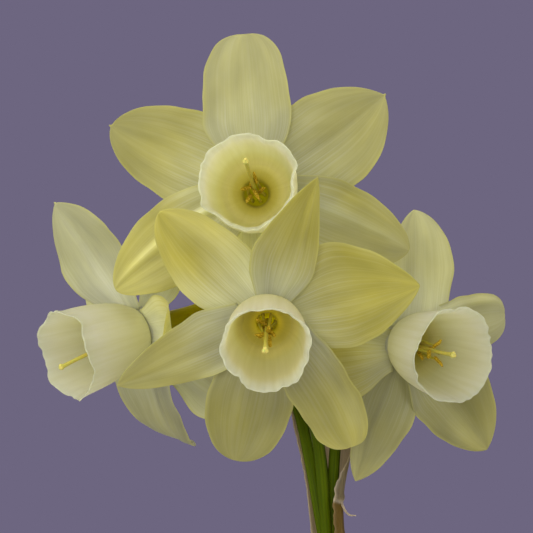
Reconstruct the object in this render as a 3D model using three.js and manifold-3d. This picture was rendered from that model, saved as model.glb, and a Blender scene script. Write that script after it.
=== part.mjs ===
// A potted narcissus: one bulb with two noses in a clay pot, seven strap leaves, and one stem
// that carries an umbel of four pale yellow flowers. Millimetres, +Z up. The origin is the
// centre of the pot's flat underside, and a viewer at the front looks along +Y.
import * as THREE from "three";
import { mergeVertices } from "three/addons/utils/BufferGeometryUtils.js";
import Module from "manifold-3d";

const wasm = await Module();
wasm.setup();

const GAP = 0.3; // left between pieces that touch
const TAU = 2 * Math.PI;

const POT = {
  height: 118,
  rimRadius: 64,
  rimBand: 24,
  rimStep: 4,
  shoulderRadius: 57.5,
  baseRadius: 43,
  wall: 6,
  floor: 9,
  edge: 1.4,
  sides: 36,
  drains: 3,
  drainRadius: 4.5,
  drainCircle: 22,
};

const SOIL = { top: 101, lump: 1.1, rings: 5 };

// A nose is a place where the bulb sends up its leaves, inside a pale sheath.
const NOSES = {
  main: { x: 0, y: 0, bulbRadius: 20, neckRadius: 10.4, sheathTop: 126 },
  side: { x: 3, y: 22, bulbRadius: 13, neckRadius: 8.2, sheathTop: 117 },
};
const BULB = { bottom: 50, widest: 70, shoulder: 94, socketFloor: 96 };

// A leaf stands in its nose, shift mm out from the middle, and leans towards the heading.
// Lean, bend and hook are degrees from upright; sway is degrees sideways; turn twists the blade.
const LEAF = { thick: 1.9, thin: 1.1, rows: 12, columns: 4 };
const LEAVES = [
  {
    nose: "main", shift: 4.6, heading: 180, length: 300, width: 13,
    lean: 1, bend: 17, hook: 12, sway: 14, turn: 50,
  },
  {
    nose: "main", shift: 7.4, heading: 180, length: 286, width: 14,
    lean: 3, bend: 50, hook: 40, sway: -18, turn: -30,
  },
  {
    nose: "main", shift: 4.6, heading: 0, length: 298, width: 12.5,
    lean: 1, bend: 16, hook: 8, sway: 15, turn: -70,
  },
  {
    nose: "main", shift: 7.4, heading: 0, length: 276, width: 14,
    lean: 4, bend: 64, hook: 52, sway: -14, turn: 34,
  },
  {
    nose: "side", shift: 0, heading: 90, length: 288, width: 12,
    lean: 5, bend: 24, hook: 18, sway: 10, turn: 60,
  },
  {
    nose: "side", shift: 3.4, heading: 90, length: 262, width: 12.5,
    lean: 8, bend: 60, hook: 48, sway: -24, turn: -26,
  },
  {
    nose: "side", shift: -3.4, heading: 90, length: 256, width: 11,
    lean: 2, bend: 18, hook: 10, sway: -26, turn: 40,
  },
];

const STEM = {
  radius: 2.8,
  sides: 10,
  path: [[0, 0, BULB.socketFloor + GAP], [-1.4, 0.8, 190], [1, -0.6, 300], [5.8, 0.1, 403]],
};
const STALK = { radius: 1.15, sides: 8, step: 9 };
const TUBE = { mouth: 3.5, bore: 1.25, boreDepth: 6, straight: 20 };

// Petals: turn is degrees clockwise from the flower's own up, seen from the front. Even petals
// are the inner whorl. Lean, curl and hook tip the blade forward, and sway swings it sideways.
const PETAL = {
  turn: 0, length: 31, width: 18, lean: 0, curl: 0, hook: 0, sway: 0, cup: 15, cupTip: 10, twist: 0,
  wave: 0.5, phase: 0, fold: 0.4, widest: 0.45, neck: 0.42, point: 2, blunt: 1.7, skew: 0,
};
const PETAL_SHEET = { start: 3.3, thick: 0.6, rows: 6, columns: 4, innerRise: -0.55, outerRise: -1.5 };
const COLLAR = { inner: 2.6, outer: 5, bottom: -2.1, top: 0.1, sides: 16 };
const CUP = { base: 4.6, wall: 0.8, bottom: COLLAR.top + GAP, sides: 24 };
const STAMEN = {
  count: 6, filament: 0.32, anther: 0.55, antherLength: 3.4,
  longReach: 9.5, shortReach: 5.5, footRadius: 1.65, spread: 2,
  ringInner: 1.1, ringOuter: 2.2, ringHeight: 0.8,
};
const STYLE = { radius: 0.45, stigma: 0.95, lobeRadius: 0.62, lobes: 3, length: 20 };

const FLOWERS = {
  centre: {
    place: [-6.6, -28, 449.3], yaw: -1, nod: 14.5, mouth: 8.4, depth: 18, styleBend: [0, 0], belly: 0.95,
    stalk: [[-3.4, -9.5, 445], [0.7, -6, 434], [3.3, -3, 426.5], [4.8, -1.4, 413]],
    petals: [
      {
        turn: 15.4, sway: 7.2, width: 13.4, length: 30.8, lean: 8, curl: -5, cup: 20,
        cupTip: 38, widest: 0.36, neck: 0.42, point: 1.3, blunt: 1.2, skew: -0.08,
      },
      {
        turn: 76, width: 21.5, length: 30.2, lean: 3, cup: 8,
        widest: 0.45, neck: 0.5, point: 1.5, blunt: 1.3, skew: -0.16,
      },
      {
        turn: 135, sway: 26, width: 12.2, length: 30.1, curl: 5, cup: 14,
        widest: 0.3, neck: 0.95, point: 4.2, blunt: 2.9, skew: 0.08,
      },
      { turn: 192, width: 16.8, length: 29.3, lean: -2, widest: 0.5, point: 2.3, blunt: 2 },
      {
        turn: 242, sway: 10.9, width: 12.8, length: 31.5, lean: 3,
        widest: 0.3, neck: 0.82, point: 1.5, blunt: 1.45, skew: 0.24,
      },
      { turn: 316.5, width: 15.6, length: 29.8, lean: 2, neck: 0.6, point: 1.7 },
    ],
  },
  top: {
    place: [-9, -2, 475.6], yaw: -4.5, nod: -3.5, mouth: 9.8, depth: 18, styleBend: [-0.2, 3.6],
    stalk: [[-5.6, 17.5, 466], [-2.6, 13, 450], [2.2, 6, 433], [5, 2.2, 415]],
    petals: [
      { turn: -4, width: 17.8, length: 31.1, widest: 0.37, neck: 0.36, point: 2.75, blunt: 3, skew: -0.07 },
      {
        turn: 57.5, sway: -8.5, width: 21, length: 31.9, lean: -2, cup: 9,
        widest: 0.33, neck: 0.56, point: 2.67, blunt: 1.24, skew: 0.04,
      },
      { turn: 112, width: 17, length: 33.2, lean: 2, neck: 0.6, point: 1.8, skew: 0.06 },
      { turn: 172, width: 18, length: 33, lean: -10, neck: 0.6 },
      { turn: 233, width: 16.6, length: 34.5, lean: 8, neck: 0.6, point: 1.8, skew: 0.1 },
      {
        turn: 292, sway: 3.4, width: 19.2, length: 31.8, widest: 0.32,
        neck: 0.59, point: 2.2, blunt: 1.74, skew: 0.06,
      },
    ],
  },
  left: {
    place: [-32.4, 6, 446.9], yaw: -54.5, nod: 14, mouth: 9.5, depth: 18, styleBend: [0, -2.2], belly: 0.82,
    stalk: [[-12, 15.5, 451.1], [-5.6, 11.5, 442.8], [-0.4, 4.2, 431.4], [2, 0.8, 421], [3.8, 0, 411]],
    petals: [
      {
        turn: -29, sway: 6.3, width: 24.6, length: 31.6, lean: 10.8,
        widest: 0.6, neck: 0.32, point: 1.3, blunt: 1.35, skew: 0.14,
      },
      { turn: 24, sway: -16, width: 13, length: 25, lean: -34 },
      { turn: 89, sway: 5, width: 16.6, length: 28, curl: 58, cup: 36, cupTip: -20, neck: 0.6 },
      { turn: 126, width: 15, length: 31, lean: -5 },
      {
        turn: 191.8, sway: -3.5, width: 22, length: 29.9, lean: 2, curl: -38,
        hook: -58, widest: 0.3, neck: 0.69, point: 1.3, blunt: 2.06,
      },
      { turn: 283, width: 17, length: 30, lean: -12 },
    ],
  },
  right: {
    place: [21.5, 3, 443.4], yaw: 30, nod: 4, mouth: 9.2, depth: 17.5, styleBend: [0, 0.4], belly: 0.84,
    stalk: [[10.4, 16, 439], [8.8, 8.5, 433], [7.4, 4, 426], [6.7, 1.6, 418], [6.5, 0.6, 411]],
    petals: [
      {
        turn: 15.2, sway: -20, width: 14.4, length: 28.4, lean: -8,
        widest: 0.31, neck: 0.83, point: 3.7, blunt: 1.4, skew: 0.14,
      },
      {
        turn: 73.5, sway: 7.5, width: 12.7, length: 27.9, lean: -9,
        widest: 0.3, point: 2.9, blunt: 3, skew: -0.01,
      },
      {
        turn: 129, sway: 14.4, width: 18, length: 29.4, widest: 0.35,
        neck: 0.54, point: 2.2, blunt: 1.35, skew: -0.05,
      },
      {
        turn: 200.8, width: 13.3, length: 28.4, widest: 0.32,
        neck: 0.36, point: 2.4, blunt: 1.2, skew: -0.11,
      },
      { turn: 266, width: 20, length: 27, lean: -13 },
      { turn: 322, width: 16, length: 29, lean: -25 },
    ],
  },
};

// The spathe is one papery bract, wrapped round the top of the stem and open at the front left.
const SPATHE = {
  bottom: 399, sleeveTop: 404, torn: 413.5, taper: 424, top: 441, radius: 3.55, thick: 0.6,
  rows: 10, columns: 6, leftEdge: -100, rightEdgeLow: 172, rightEdgeHigh: 84, tipEdge: 8,
};

const radians = THREE.MathUtils.degToRad;
const lerp = THREE.MathUtils.lerp;

function material(name, color, roughness) {
  return new THREE.MeshStandardMaterial({ name, color, roughness, metalness: 0, side: THREE.DoubleSide });
}

const MATERIALS = {
  pot: material("terracotta", 0xb06a48, 0.85),
  soil: material("peat soil", 0x3a2c22, 0.95),
  bulb: material("papery bulb skin", 0x8a6a45, 0.7),
  leaf: material("narcissus leaf", 0x4f6b3c, 0.5),
  stem: material("green stem", 0x5c6a1c, 0.45),
  spathe: material("dry papery bract", 0x9c8c6c, 0.75),
  petal: material("pale yellow petal", 0xbdb87c, 0.6),
  cup: material("cream cup", 0xc4c08c, 0.55),
  stamen: material("orange pollen", 0xa8780c, 0.8),
  pistil: material("pale green style", 0xb6ae50, 0.5),
};

// A closed surface from its points and triangles, turned so that its faces point out.
function closedSurface(points, triangles) {
  let volume = 0;
  const cross = new THREE.Vector3();
  for (const [a, b, c] of triangles) {
    volume += points[a].dot(cross.crossVectors(points[b], points[c]));
  }
  const outward = volume < 0 ? triangles.map(([a, b, c]) => [a, c, b]) : triangles;
  const geometry = new THREE.BufferGeometry().setFromPoints(points);
  geometry.setIndex(outward.flat());
  return geometry;
}

function solidOf(geometry) {
  const bare = geometry.clone();
  bare.deleteAttribute("normal");
  bare.deleteAttribute("uv");
  const merged = mergeVertices(bare, 1e-4);
  return new wasm.Manifold(
    new wasm.Mesh({
      numProp: 3,
      vertProperties: merged.attributes.position.array,
      triVerts: new Uint32Array(merged.index.array),
    }),
  );
}

function geometryOf(solid) {
  const made = solid.getMesh();
  const geometry = new THREE.BufferGeometry();
  geometry.setAttribute("position", new THREE.BufferAttribute(made.vertProperties, 3));
  geometry.setIndex(new THREE.BufferAttribute(made.triVerts, 1));
  geometry.computeVertexNormals();
  return geometry;
}

const fuse = (solids) => solids.reduce((whole, piece) => whole.add(piece));

function named(name, geometry, finish) {
  const mesh = new THREE.Mesh(geometry, finish);
  mesh.name = name;
  return mesh;
}

// A turned form about +Z. The profile is [radius, height] pairs that start and end on the axis,
// or that close on themselves.
function turned(profile, sides) {
  const lathe = new THREE.LatheGeometry(
    profile.map(([radius, height]) => new THREE.Vector2(radius, height)),
    sides,
  ).rotateX(Math.PI / 2);
  lathe.deleteAttribute("normal");
  lathe.deleteAttribute("uv");
  const merged = mergeVertices(lathe, 1e-4);
  const position = merged.attributes.position;
  const points = [];
  for (let i = 0; i < position.count; i++) {
    points.push(new THREE.Vector3().fromBufferAttribute(position, i));
  }
  const index = merged.index.array;
  const triangles = [];
  for (let i = 0; i < index.length; i += 3) {
    const corners = [index[i], index[i + 1], index[i + 2]];
    if (new Set(corners).size === 3) triangles.push(corners);
  }
  return closedSurface(points, triangles);
}

// A round stalk along a curve, with a ring of its own radius at each [distance, radius] station.
function stalkSolid(curve, stations, sides) {
  const length = curve.getLength();
  const steps = stations.length - 1;
  const fine = 200;
  const frames = curve.computeFrenetFrames(fine, false);
  const points = [];
  stations.forEach(([distance, radius]) => {
    const u = Math.min(1, distance / length);
    const i = Math.round(u * fine);
    const centre = curve.getPointAt(u);
    for (let k = 0; k < sides; k++) {
      const angle = (TAU * k) / sides;
      points.push(
        centre
          .clone()
          .addScaledVector(frames.normals[i], radius * Math.cos(angle))
          .addScaledVector(frames.binormals[i], radius * Math.sin(angle)),
      );
    }
  });
  const first = points.push(curve.getPointAt(0)) - 1;
  const last = points.push(curve.getPointAt(1)) - 1;
  const triangles = [];
  for (let k = 0; k < sides; k++) {
    const next = (k + 1) % sides;
    triangles.push([first, k, next], [last, steps * sides + next, steps * sides + k]);
    for (let i = 0; i < steps; i++) {
      const low = i * sides;
      const high = low + sides;
      triangles.push([low + k, high + k, high + next], [low + k, high + next, low + next]);
    }
  }
  return solidOf(closedSurface(points, triangles));
}

// Stations a step apart on a stalk of one radius.
function evenStations(curve, radius, step) {
  const length = curve.getLength();
  const steps = Math.ceil(length / step);
  return Array.from({ length: steps + 1 }, (_, i) => [(length * i) / steps, radius]);
}

// A thin sheet with both faces split alike. grid[i][j] holds the middle of the sheet.
function sheetSolid(grid, thicknessAt) {
  const rows = grid.length - 1;
  const columns = grid[0].length - 1;
  const pick = (i, j) => grid[THREE.MathUtils.clamp(i, 0, rows)][THREE.MathUtils.clamp(j, 0, columns)];
  const front = [];
  const back = [];
  for (let i = 0; i <= rows; i++) {
    for (let j = 0; j <= columns; j++) {
      const along = pick(i + 1, j).clone().sub(pick(i - 1, j));
      const across = pick(i, j + 1).clone().sub(pick(i, j - 1));
      const normal = across.cross(along).normalize();
      const half = thicknessAt(i / rows) / 2;
      front.push(grid[i][j].clone().addScaledVector(normal, half));
      back.push(grid[i][j].clone().addScaledVector(normal, -half));
    }
  }
  const count = front.length;
  const at = (i, j) => i * (columns + 1) + j;
  const triangles = [];
  for (let i = 0; i < rows; i++) {
    for (let j = 0; j < columns; j++) {
      const [a, b, c, d] = [at(i, j), at(i, j + 1), at(i + 1, j + 1), at(i + 1, j)];
      triangles.push([a, b, c], [a, c, d]);
      triangles.push([count + a, count + c, count + b], [count + a, count + d, count + c]);
    }
  }
  const rim = [];
  for (let j = 0; j < columns; j++) rim.push(at(0, j));
  for (let i = 0; i < rows; i++) rim.push(at(i, columns));
  for (let j = columns; j > 0; j--) rim.push(at(rows, j));
  for (let i = rows; i > 0; i--) rim.push(at(i, 0));
  rim.forEach((a, k) => {
    const b = rim[(k + 1) % rim.length];
    triangles.push([a, count + a, count + b], [a, count + b, b]);
  });
  return solidOf(closedSurface([...front, ...back], triangles));
}

// How wide a blade is at s, from 0 at its foot to 1 at its tip, as a share of its full width.
function bladeOutline(form, s) {
  if (s < form.widest) {
    return form.neck + (1 - form.neck) * Math.sin((Math.PI / 2) * (s / form.widest)) ** 1.3;
  }
  const q = (s - form.widest) / (1 - form.widest);
  return Math.max(0.08, (1 - q ** form.point) ** (1 / form.blunt));
}

// The middle surface of a blade that grows from start along the direction along and faces face.
function bladeGrid(form, start, along, face, { rows, columns, to = 1, spare = 0 }) {
  const aside = new THREE.Vector3().crossVectors(along, face);
  const fineSteps = 12;
  const stepLength = (form.length * to) / (rows * fineSteps);
  const spot = start.clone();
  const grid = [];
  for (let i = 0; i <= rows * fineSteps; i++) {
    const s = (to * i) / (rows * fineSteps);
    const late = THREE.MathUtils.clamp((s - 0.6) / 0.4, 0, 1);
    const tip = radians(form.lean + form.curl * s + form.hook * late * late);
    const swing = radians(form.sway * s);
    const way = along.clone().multiplyScalar(Math.cos(swing)).addScaledVector(aside, Math.sin(swing));
    const side = aside.clone().multiplyScalar(Math.cos(swing)).addScaledVector(along, -Math.sin(swing));
    const ahead = way.multiplyScalar(Math.cos(tip)).addScaledVector(face, Math.sin(tip));
    side.applyAxisAngle(ahead, radians(form.twist * s));
    const normal = new THREE.Vector3().crossVectors(side, ahead);
    if (i % fineSteps === 0) {
      const half = (form.width / 2) * bladeOutline(form, s) + spare;
      const bow = radians(lerp(form.cup, form.cupTip, s));
      const row = [];
      for (let j = 0; j <= columns; j++) {
        const v = -1 + (2 * j) / columns;
        const reach = half * (1 + form.skew * v);
        const across = (reach * Math.sin(bow * v)) / bow;
        const ripple = form.wave * Math.abs(v) ** 3 * Math.sin(TAU * (1.6 * s + form.phase + 0.3 * v));
        const crease = form.fold * Math.exp(-((v / 0.16) ** 2));
        const lift =
          (reach * (1 - Math.cos(bow * v))) / bow +
          ripple * Math.sin(Math.PI * s) -
          crease * Math.sin(Math.PI * Math.min(1, 1.05 * s));
        row.push(spot.clone().addScaledVector(side, across).addScaledVector(normal, lift));
      }
      grid.push(row);
    }
    spot.addScaledVector(ahead, stepLength);
  }
  return grid;
}

// The frame of a flower: X to its right, Y to its own up, and Z out of its cup.
function flowerMatrix(flower) {
  const yaw = radians(flower.yaw);
  const nod = radians(flower.nod);
  const out = new THREE.Vector3(
    Math.sin(yaw) * Math.cos(nod),
    -Math.cos(yaw) * Math.cos(nod),
    -Math.sin(nod),
  );
  const right = new THREE.Vector3(0, 0, 1).cross(out).normalize();
  const up = new THREE.Vector3().crossVectors(out, right);
  return new THREE.Matrix4().makeBasis(right, up, out).setPosition(...flower.place);
}

function perianthSolid(flower) {
  const collar = solidOf(
    turned(
      [
        [COLLAR.inner, COLLAR.bottom],
        [COLLAR.outer - 0.8, COLLAR.bottom],
        [COLLAR.outer, COLLAR.bottom + 0.8],
        [COLLAR.outer, COLLAR.top],
        [COLLAR.inner, COLLAR.top],
        [COLLAR.inner, COLLAR.bottom],
      ],
      COLLAR.sides,
    ),
  );
  const face = new THREE.Vector3(0, 0, 1);
  const petals = flower.petals.map((given, number) => {
    const form = { ...PETAL, ...given };
    form.length -= PETAL_SHEET.start;
    const turn = radians(form.turn);
    const outwards = new THREE.Vector3(Math.sin(turn), Math.cos(turn), 0);
    const rise = number % 2 === 0 ? PETAL_SHEET.innerRise : PETAL_SHEET.outerRise;
    const start = outwards.clone().multiplyScalar(PETAL_SHEET.start).setZ(rise);
    return sheetSolid(bladeGrid(form, start, outwards, face, PETAL_SHEET), () => PETAL_SHEET.thick);
  });
  return fuse([collar, ...petals]);
}

// The cup swells from its base, stays nearly straight, and opens a little at its waved rim.
function cupGeometry(flower, phase) {
  const { mouth, depth, belly = 1 } = flower;
  const outside = [
    [CUP.base, CUP.bottom],
    [0.8 * mouth * belly, 0.16 * depth],
    [0.93 * mouth * lerp(belly, 1, 0.35), 0.4 * depth],
    [0.96 * mouth * lerp(belly, 1, 0.8), 0.7 * depth],
    [mouth, depth],
  ];
  const inside = outside.map(([radius, height], i) => [
    radius - CUP.wall,
    i === 1 ? height + CUP.wall : height,
  ]);
  const geometry = turned([...outside, ...inside.reverse(), outside[0]], CUP.sides);
  const position = geometry.attributes.position;
  for (let i = 0; i < position.count; i++) {
    const [x, y, z] = [position.getX(i), position.getY(i), position.getZ(i)];
    const share = THREE.MathUtils.clamp(z / depth, 0, 1) ** 3;
    const angle = Math.atan2(x, y);
    const swell = 1 + 0.025 * share * Math.sin(6 * angle + phase) + 0.012 * share * Math.sin(11 * angle);
    position.setXYZ(i, x * swell, y * swell, z + 0.5 * share * Math.sin(5 * angle + 2 * phase));
  }
  return geometry;
}

const routeCurve = (points) => new THREE.CatmullRomCurve3(points, false, "centripetal");

// Six stamens on a ring in the throat, each a filament with an anther that points forward.
function stamensSolid(flower, phase) {
  const { ringInner, ringOuter, footRadius, longReach, shortReach } = STAMEN;
  const floor = COLLAR.bottom;
  const ringTop = floor + STAMEN.ringHeight;
  const profile = [[ringInner, floor], [ringOuter, floor], [ringOuter, ringTop], [ringInner, ringTop]];
  const pieces = [solidOf(turned([...profile, profile[0]], 8))];
  for (let k = 0; k < STAMEN.count; k++) {
    const angle = (TAU * (k + 0.5)) / STAMEN.count;
    const height = (k % 2 === 0 ? longReach : shortReach) + 0.8 * Math.sin(2.3 * k + phase);
    const styleRoom = 0.12 * Math.hypot(...flower.styleBend);
    const spread = STAMEN.spread + 0.35 * Math.sin(4.1 * k + phase) + styleRoom;
    const at = (radius, z) => new THREE.Vector3(radius * Math.sin(angle), radius * Math.cos(angle), z);
    const foot = at(footRadius, floor + GAP);
    const joint = at(spread, height);
    const tip = at(spread + 0.25, height + STAMEN.antherLength);
    const filament = new THREE.LineCurve3(foot, joint.clone().lerp(tip, 0.2));
    pieces.push(stalkSolid(filament, evenStations(filament, STAMEN.filament, 20), 3));
    const anther = [0, 0.25, 0.75, 1].map((share, i) => [
      share * joint.distanceTo(tip),
      i % 3 === 0 ? 0.5 * STAMEN.anther : STAMEN.anther,
    ]);
    pieces.push(stalkSolid(new THREE.LineCurve3(joint, tip), anther, 4));
  }
  return fuse(pieces);
}

// The style stands in the tube, and ends in a stigma of three lobes.
function pistilSolid(flower) {
  const [bendX, bendY] = flower.styleBend;
  const foot = -TUBE.boreDepth + COLLAR.bottom;
  const at = (s) => new THREE.Vector3(bendX * s * s, bendY * s * s, lerp(foot, STYLE.length, s));
  const curve = routeCurve([0, 0.3, 0.55, 0.8, 1].map(at));
  const pieces = [stalkSolid(curve, evenStations(curve, STYLE.radius, 6), 5)];
  for (let k = 0; k < STYLE.lobes; k++) {
    const angle = (TAU * k) / STYLE.lobes;
    const lobe = new THREE.IcosahedronGeometry(STYLE.lobeRadius, 0);
    const reach = STYLE.stigma - STYLE.lobeRadius;
    lobe.translate(bendX + reach * Math.sin(angle), bendY + reach * Math.cos(angle), STYLE.length);
    pieces.push(solidOf(lobe));
  }
  return fuse(pieces);
}

// The radius of a flower's stalk, from the mouth of its tube, past the ovary, to the thin pedicel.
const TUBE_STATIONS = [
  [0, TUBE.mouth], [3, 2.5], [7, 2.1], [13, 1.95],
  [15.5, 2.45], [18, 2.6], [20.5, 2.2], [22.5, 1.4], [26, STALK.radius],
];
function stalkStations(curve) {
  const [reached] = TUBE_STATIONS.at(-1);
  const rest = curve.getLength() - reached;
  const steps = Math.ceil(rest / STALK.step);
  const plain = Array.from({ length: steps }, (_, i) => [reached + (rest * (i + 1)) / steps, STALK.radius]);
  return [...TUBE_STATIONS, ...plain];
}

// One green piece: the stem, and for each flower its stalk, ovary and tube with a bore for the style.
function stemSolid() {
  const stemCurve = routeCurve(STEM.path.map((p) => new THREE.Vector3(...p)));
  const pieces = [stalkSolid(stemCurve, evenStations(stemCurve, STEM.radius, 28), STEM.sides)];
  const umbel = new THREE.Vector3(...STEM.path.at(-1));
  umbel.z -= 3;
  const bores = [];
  for (const flower of Object.values(FLOWERS)) {
    const matrix = flowerMatrix(flower);
    const onAxis = (z) => new THREE.Vector3(0, 0, z).applyMatrix4(matrix);
    const mouth = COLLAR.bottom - GAP;
    const route = [mouth, mouth - 5, mouth - 12, mouth - TUBE.straight].map(onAxis);
    route.push(...flower.stalk.map((p) => new THREE.Vector3(...p)), umbel);
    const curve = routeCurve(route);
    pieces.push(stalkSolid(curve, stalkStations(curve), STALK.sides));
    const bore = new THREE.LineCurve3(onAxis(mouth + 1), onAxis(mouth - TUBE.boreDepth));
    bores.push(stalkSolid(bore, evenStations(bore, TUBE.bore, 10), STALK.sides));
  }
  return fuse(pieces).subtract(fuse(bores));
}

// The bract hugs the stem's top as an open sleeve, then leans back behind the stalks to its tip.
function spatheSolid() {
  const grid = [];
  for (let i = 0; i <= SPATHE.rows; i++) {
    const z = lerp(SPATHE.bottom, SPATHE.top, i / SPATHE.rows);
    const above = Math.max(0, z - SPATHE.sleeveTop);
    const open = THREE.MathUtils.smoothstep(z, SPATHE.torn - 2, SPATHE.torn + 2);
    const narrow = THREE.MathUtils.smoothstep(z, SPATHE.taper, SPATHE.top + 1);
    const left = lerp(SPATHE.leftEdge, -SPATHE.tipEdge, narrow);
    const right = lerp(lerp(SPATHE.rightEdgeLow, SPATHE.rightEdgeHigh, open), SPATHE.tipEdge, narrow);
    const wide = SPATHE.radius + 0.07 * above;
    const deep = SPATHE.radius + 0.05 * above;
    const middle = new THREE.Vector3(5.75 - 0.02 * above, 0.1 + 0.012 * above * above, z);
    const row = [];
    for (let j = 0; j <= SPATHE.columns; j++) {
      const angle = radians(lerp(left, right, j / SPATHE.columns));
      row.push(new THREE.Vector3(wide * Math.sin(angle), deep * Math.cos(angle), 0).add(middle));
    }
    grid.push(row);
  }
  return sheetSolid(grid, () => SPATHE.thick);
}

function leafSolid(leaf, { to = 1, spare = 0, rows = LEAF.rows } = {}) {
  const nose = NOSES[leaf.nose];
  const heading = radians(leaf.heading);
  const out = new THREE.Vector3(Math.cos(heading), Math.sin(heading), 0);
  const start = new THREE.Vector3(nose.x, nose.y, BULB.socketFloor + GAP - spare);
  start.addScaledVector(out, leaf.shift);
  const form = {
    ...PETAL, width: leaf.width, length: leaf.length, lean: -leaf.lean, curl: -leaf.bend, hook: -leaf.hook,
    sway: leaf.sway, twist: leaf.turn, cup: 34, cupTip: 26, wave: 0, fold: 0.5,
    widest: 0.5, neck: 0.7, point: 7, blunt: 2.1,
  };
  const up = new THREE.Vector3(0, 0, 1);
  const sheet = { rows, columns: LEAF.columns, to, spare };
  const grid = bladeGrid(form, start, up, out.clone().negate(), sheet);
  return sheetSolid(grid, (s) => lerp(LEAF.thick, LEAF.thin, s * to) + 2 * spare);
}

// The bulb's outside: a round body at each nose, and a sheath that stands up round the leaves.
function bulbOutside(spare) {
  const bodies = Object.values(NOSES).map((nose) => {
    const r = nose.bulbRadius + spare;
    const neck = nose.neckRadius + spare;
    const profile = [
      [0, BULB.bottom - spare],
      [0.55 * r, BULB.bottom + 1 - spare],
      [0.93 * r, BULB.bottom + 10],
      [r, BULB.widest],
      [0.9 * r, BULB.widest + 11],
      [Math.max(neck + 1.5, 0.62 * r), BULB.shoulder - 4],
      [neck, BULB.shoulder + 5],
      [neck - 0.4, nose.sheathTop + spare],
      [0, nose.sheathTop + spare],
    ];
    return solidOf(turned(profile, 12).translate(nose.x, nose.y, 0));
  });
  return fuse(bodies);
}

function socketCutters() {
  const footLength = 34;
  const foot = (leaf) => leafSolid(leaf, { to: footLength / leaf.length, spare: GAP, rows: 2 });
  const leaves = LEAVES.map(foot);
  const path = STEM.path.map((p) => new THREE.Vector3(...p));
  path[0].z -= GAP;
  const stemCurve = routeCurve(path);
  const stem = stalkSolid(stemCurve, evenStations(stemCurve, STEM.radius + GAP, 28), STEM.sides);
  return fuse([...leaves, stem]);
}

function potSolid() {
  const { height, rimRadius, rimBand, rimStep, shoulderRadius, baseRadius, wall, floor, edge } = POT;
  const bandFoot = height - rimBand;
  const profile = [
    [0, 0],
    [baseRadius - edge, 0],
    [baseRadius, edge],
    [shoulderRadius, bandFoot],
    [shoulderRadius + rimStep, bandFoot],
    [rimRadius, height - edge],
    [rimRadius - edge, height],
    [rimRadius - wall + edge, height],
    [rimRadius - wall, height - edge],
    [baseRadius - wall, floor],
    [0, floor],
  ];
  const body = solidOf(turned(profile, POT.sides));
  const drains = [];
  for (let k = 0; k < POT.drains; k++) {
    const drain = new THREE.CylinderGeometry(POT.drainRadius, POT.drainRadius, 3 * floor, 12);
    drain.rotateX(Math.PI / 2);
    const angle = (TAU * k) / POT.drains + 0.4;
    drain.translate(POT.drainCircle * Math.cos(angle), POT.drainCircle * Math.sin(angle), 0);
    drains.push(solidOf(drain));
  }
  return body.subtract(fuse(drains));
}

// The soil fills the pot to below its rim, with a gently lumped top.
function soilSolid() {
  const low = POT.floor + GAP;
  const wallHeight = POT.height - POT.edge - POT.floor;
  const inner = (z) => {
    const share = (z - POT.floor) / wallHeight;
    return lerp(POT.baseRadius, POT.rimRadius, share) - POT.wall - GAP;
  };
  const profile = [[0, low], [inner(low), low], [inner(SOIL.top), SOIL.top]];
  for (let k = SOIL.rings - 1; k >= 0; k--) {
    profile.push([(inner(SOIL.top) * k) / SOIL.rings, SOIL.top]);
  }
  const geometry = turned(profile, POT.sides);
  const position = geometry.attributes.position;
  for (let i = 0; i < position.count; i++) {
    const [x, y, z] = [position.getX(i), position.getY(i), position.getZ(i)];
    if (z < SOIL.top - 1 || Math.hypot(x, y) > inner(SOIL.top) - 1) continue;
    const lump = Math.sin(0.23 * x + 1) * Math.cos(0.19 * y) + 0.7 * Math.sin(0.13 * x - 0.27 * y + 2);
    position.setZ(i, z + SOIL.lump * lump);
  }
  return solidOf(geometry).subtract(bulbOutside(GAP));
}

const plant = new THREE.Group();
plant.add(named("pot", geometryOf(potSolid()), MATERIALS.pot));
plant.add(named("soil", geometryOf(soilSolid()), MATERIALS.soil));
plant.add(named("bulb", geometryOf(bulbOutside(0).subtract(socketCutters())), MATERIALS.bulb));
LEAVES.forEach((leaf, i) => {
  plant.add(named(`leaf_${i + 1}`, geometryOf(leafSolid(leaf)), MATERIALS.leaf));
});
plant.add(named("stem", geometryOf(stemSolid()), MATERIALS.stem));
plant.add(named("spathe", geometryOf(spatheSolid()), MATERIALS.spathe));

Object.entries(FLOWERS).forEach(([name, flower], i) => {
  const bloom = new THREE.Group();
  bloom.applyMatrix4(flowerMatrix(flower));
  bloom.add(named(`petals_${name}`, geometryOf(perianthSolid(flower)), MATERIALS.petal));
  bloom.add(named(`cup_${name}`, cupGeometry(flower, 1.7 * i), MATERIALS.cup));
  bloom.add(named(`stamens_${name}`, geometryOf(stamensSolid(flower, 1.7 * i)), MATERIALS.stamen));
  bloom.add(named(`pistil_${name}`, geometryOf(pistilSolid(flower)), MATERIALS.pistil));
  plant.add(bloom);
});

export default plant;
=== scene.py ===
# %% [markdown]
# # A potted narcissus with four pale flowers
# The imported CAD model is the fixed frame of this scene. It has the right sizes and places, but its
# solids are coarse. Each cell below builds one part of the plant again, with the finer form and
# the surface that the real one has, in the same place and in metres.

import math

import bpy
import numpy as np
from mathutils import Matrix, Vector, noise


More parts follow.
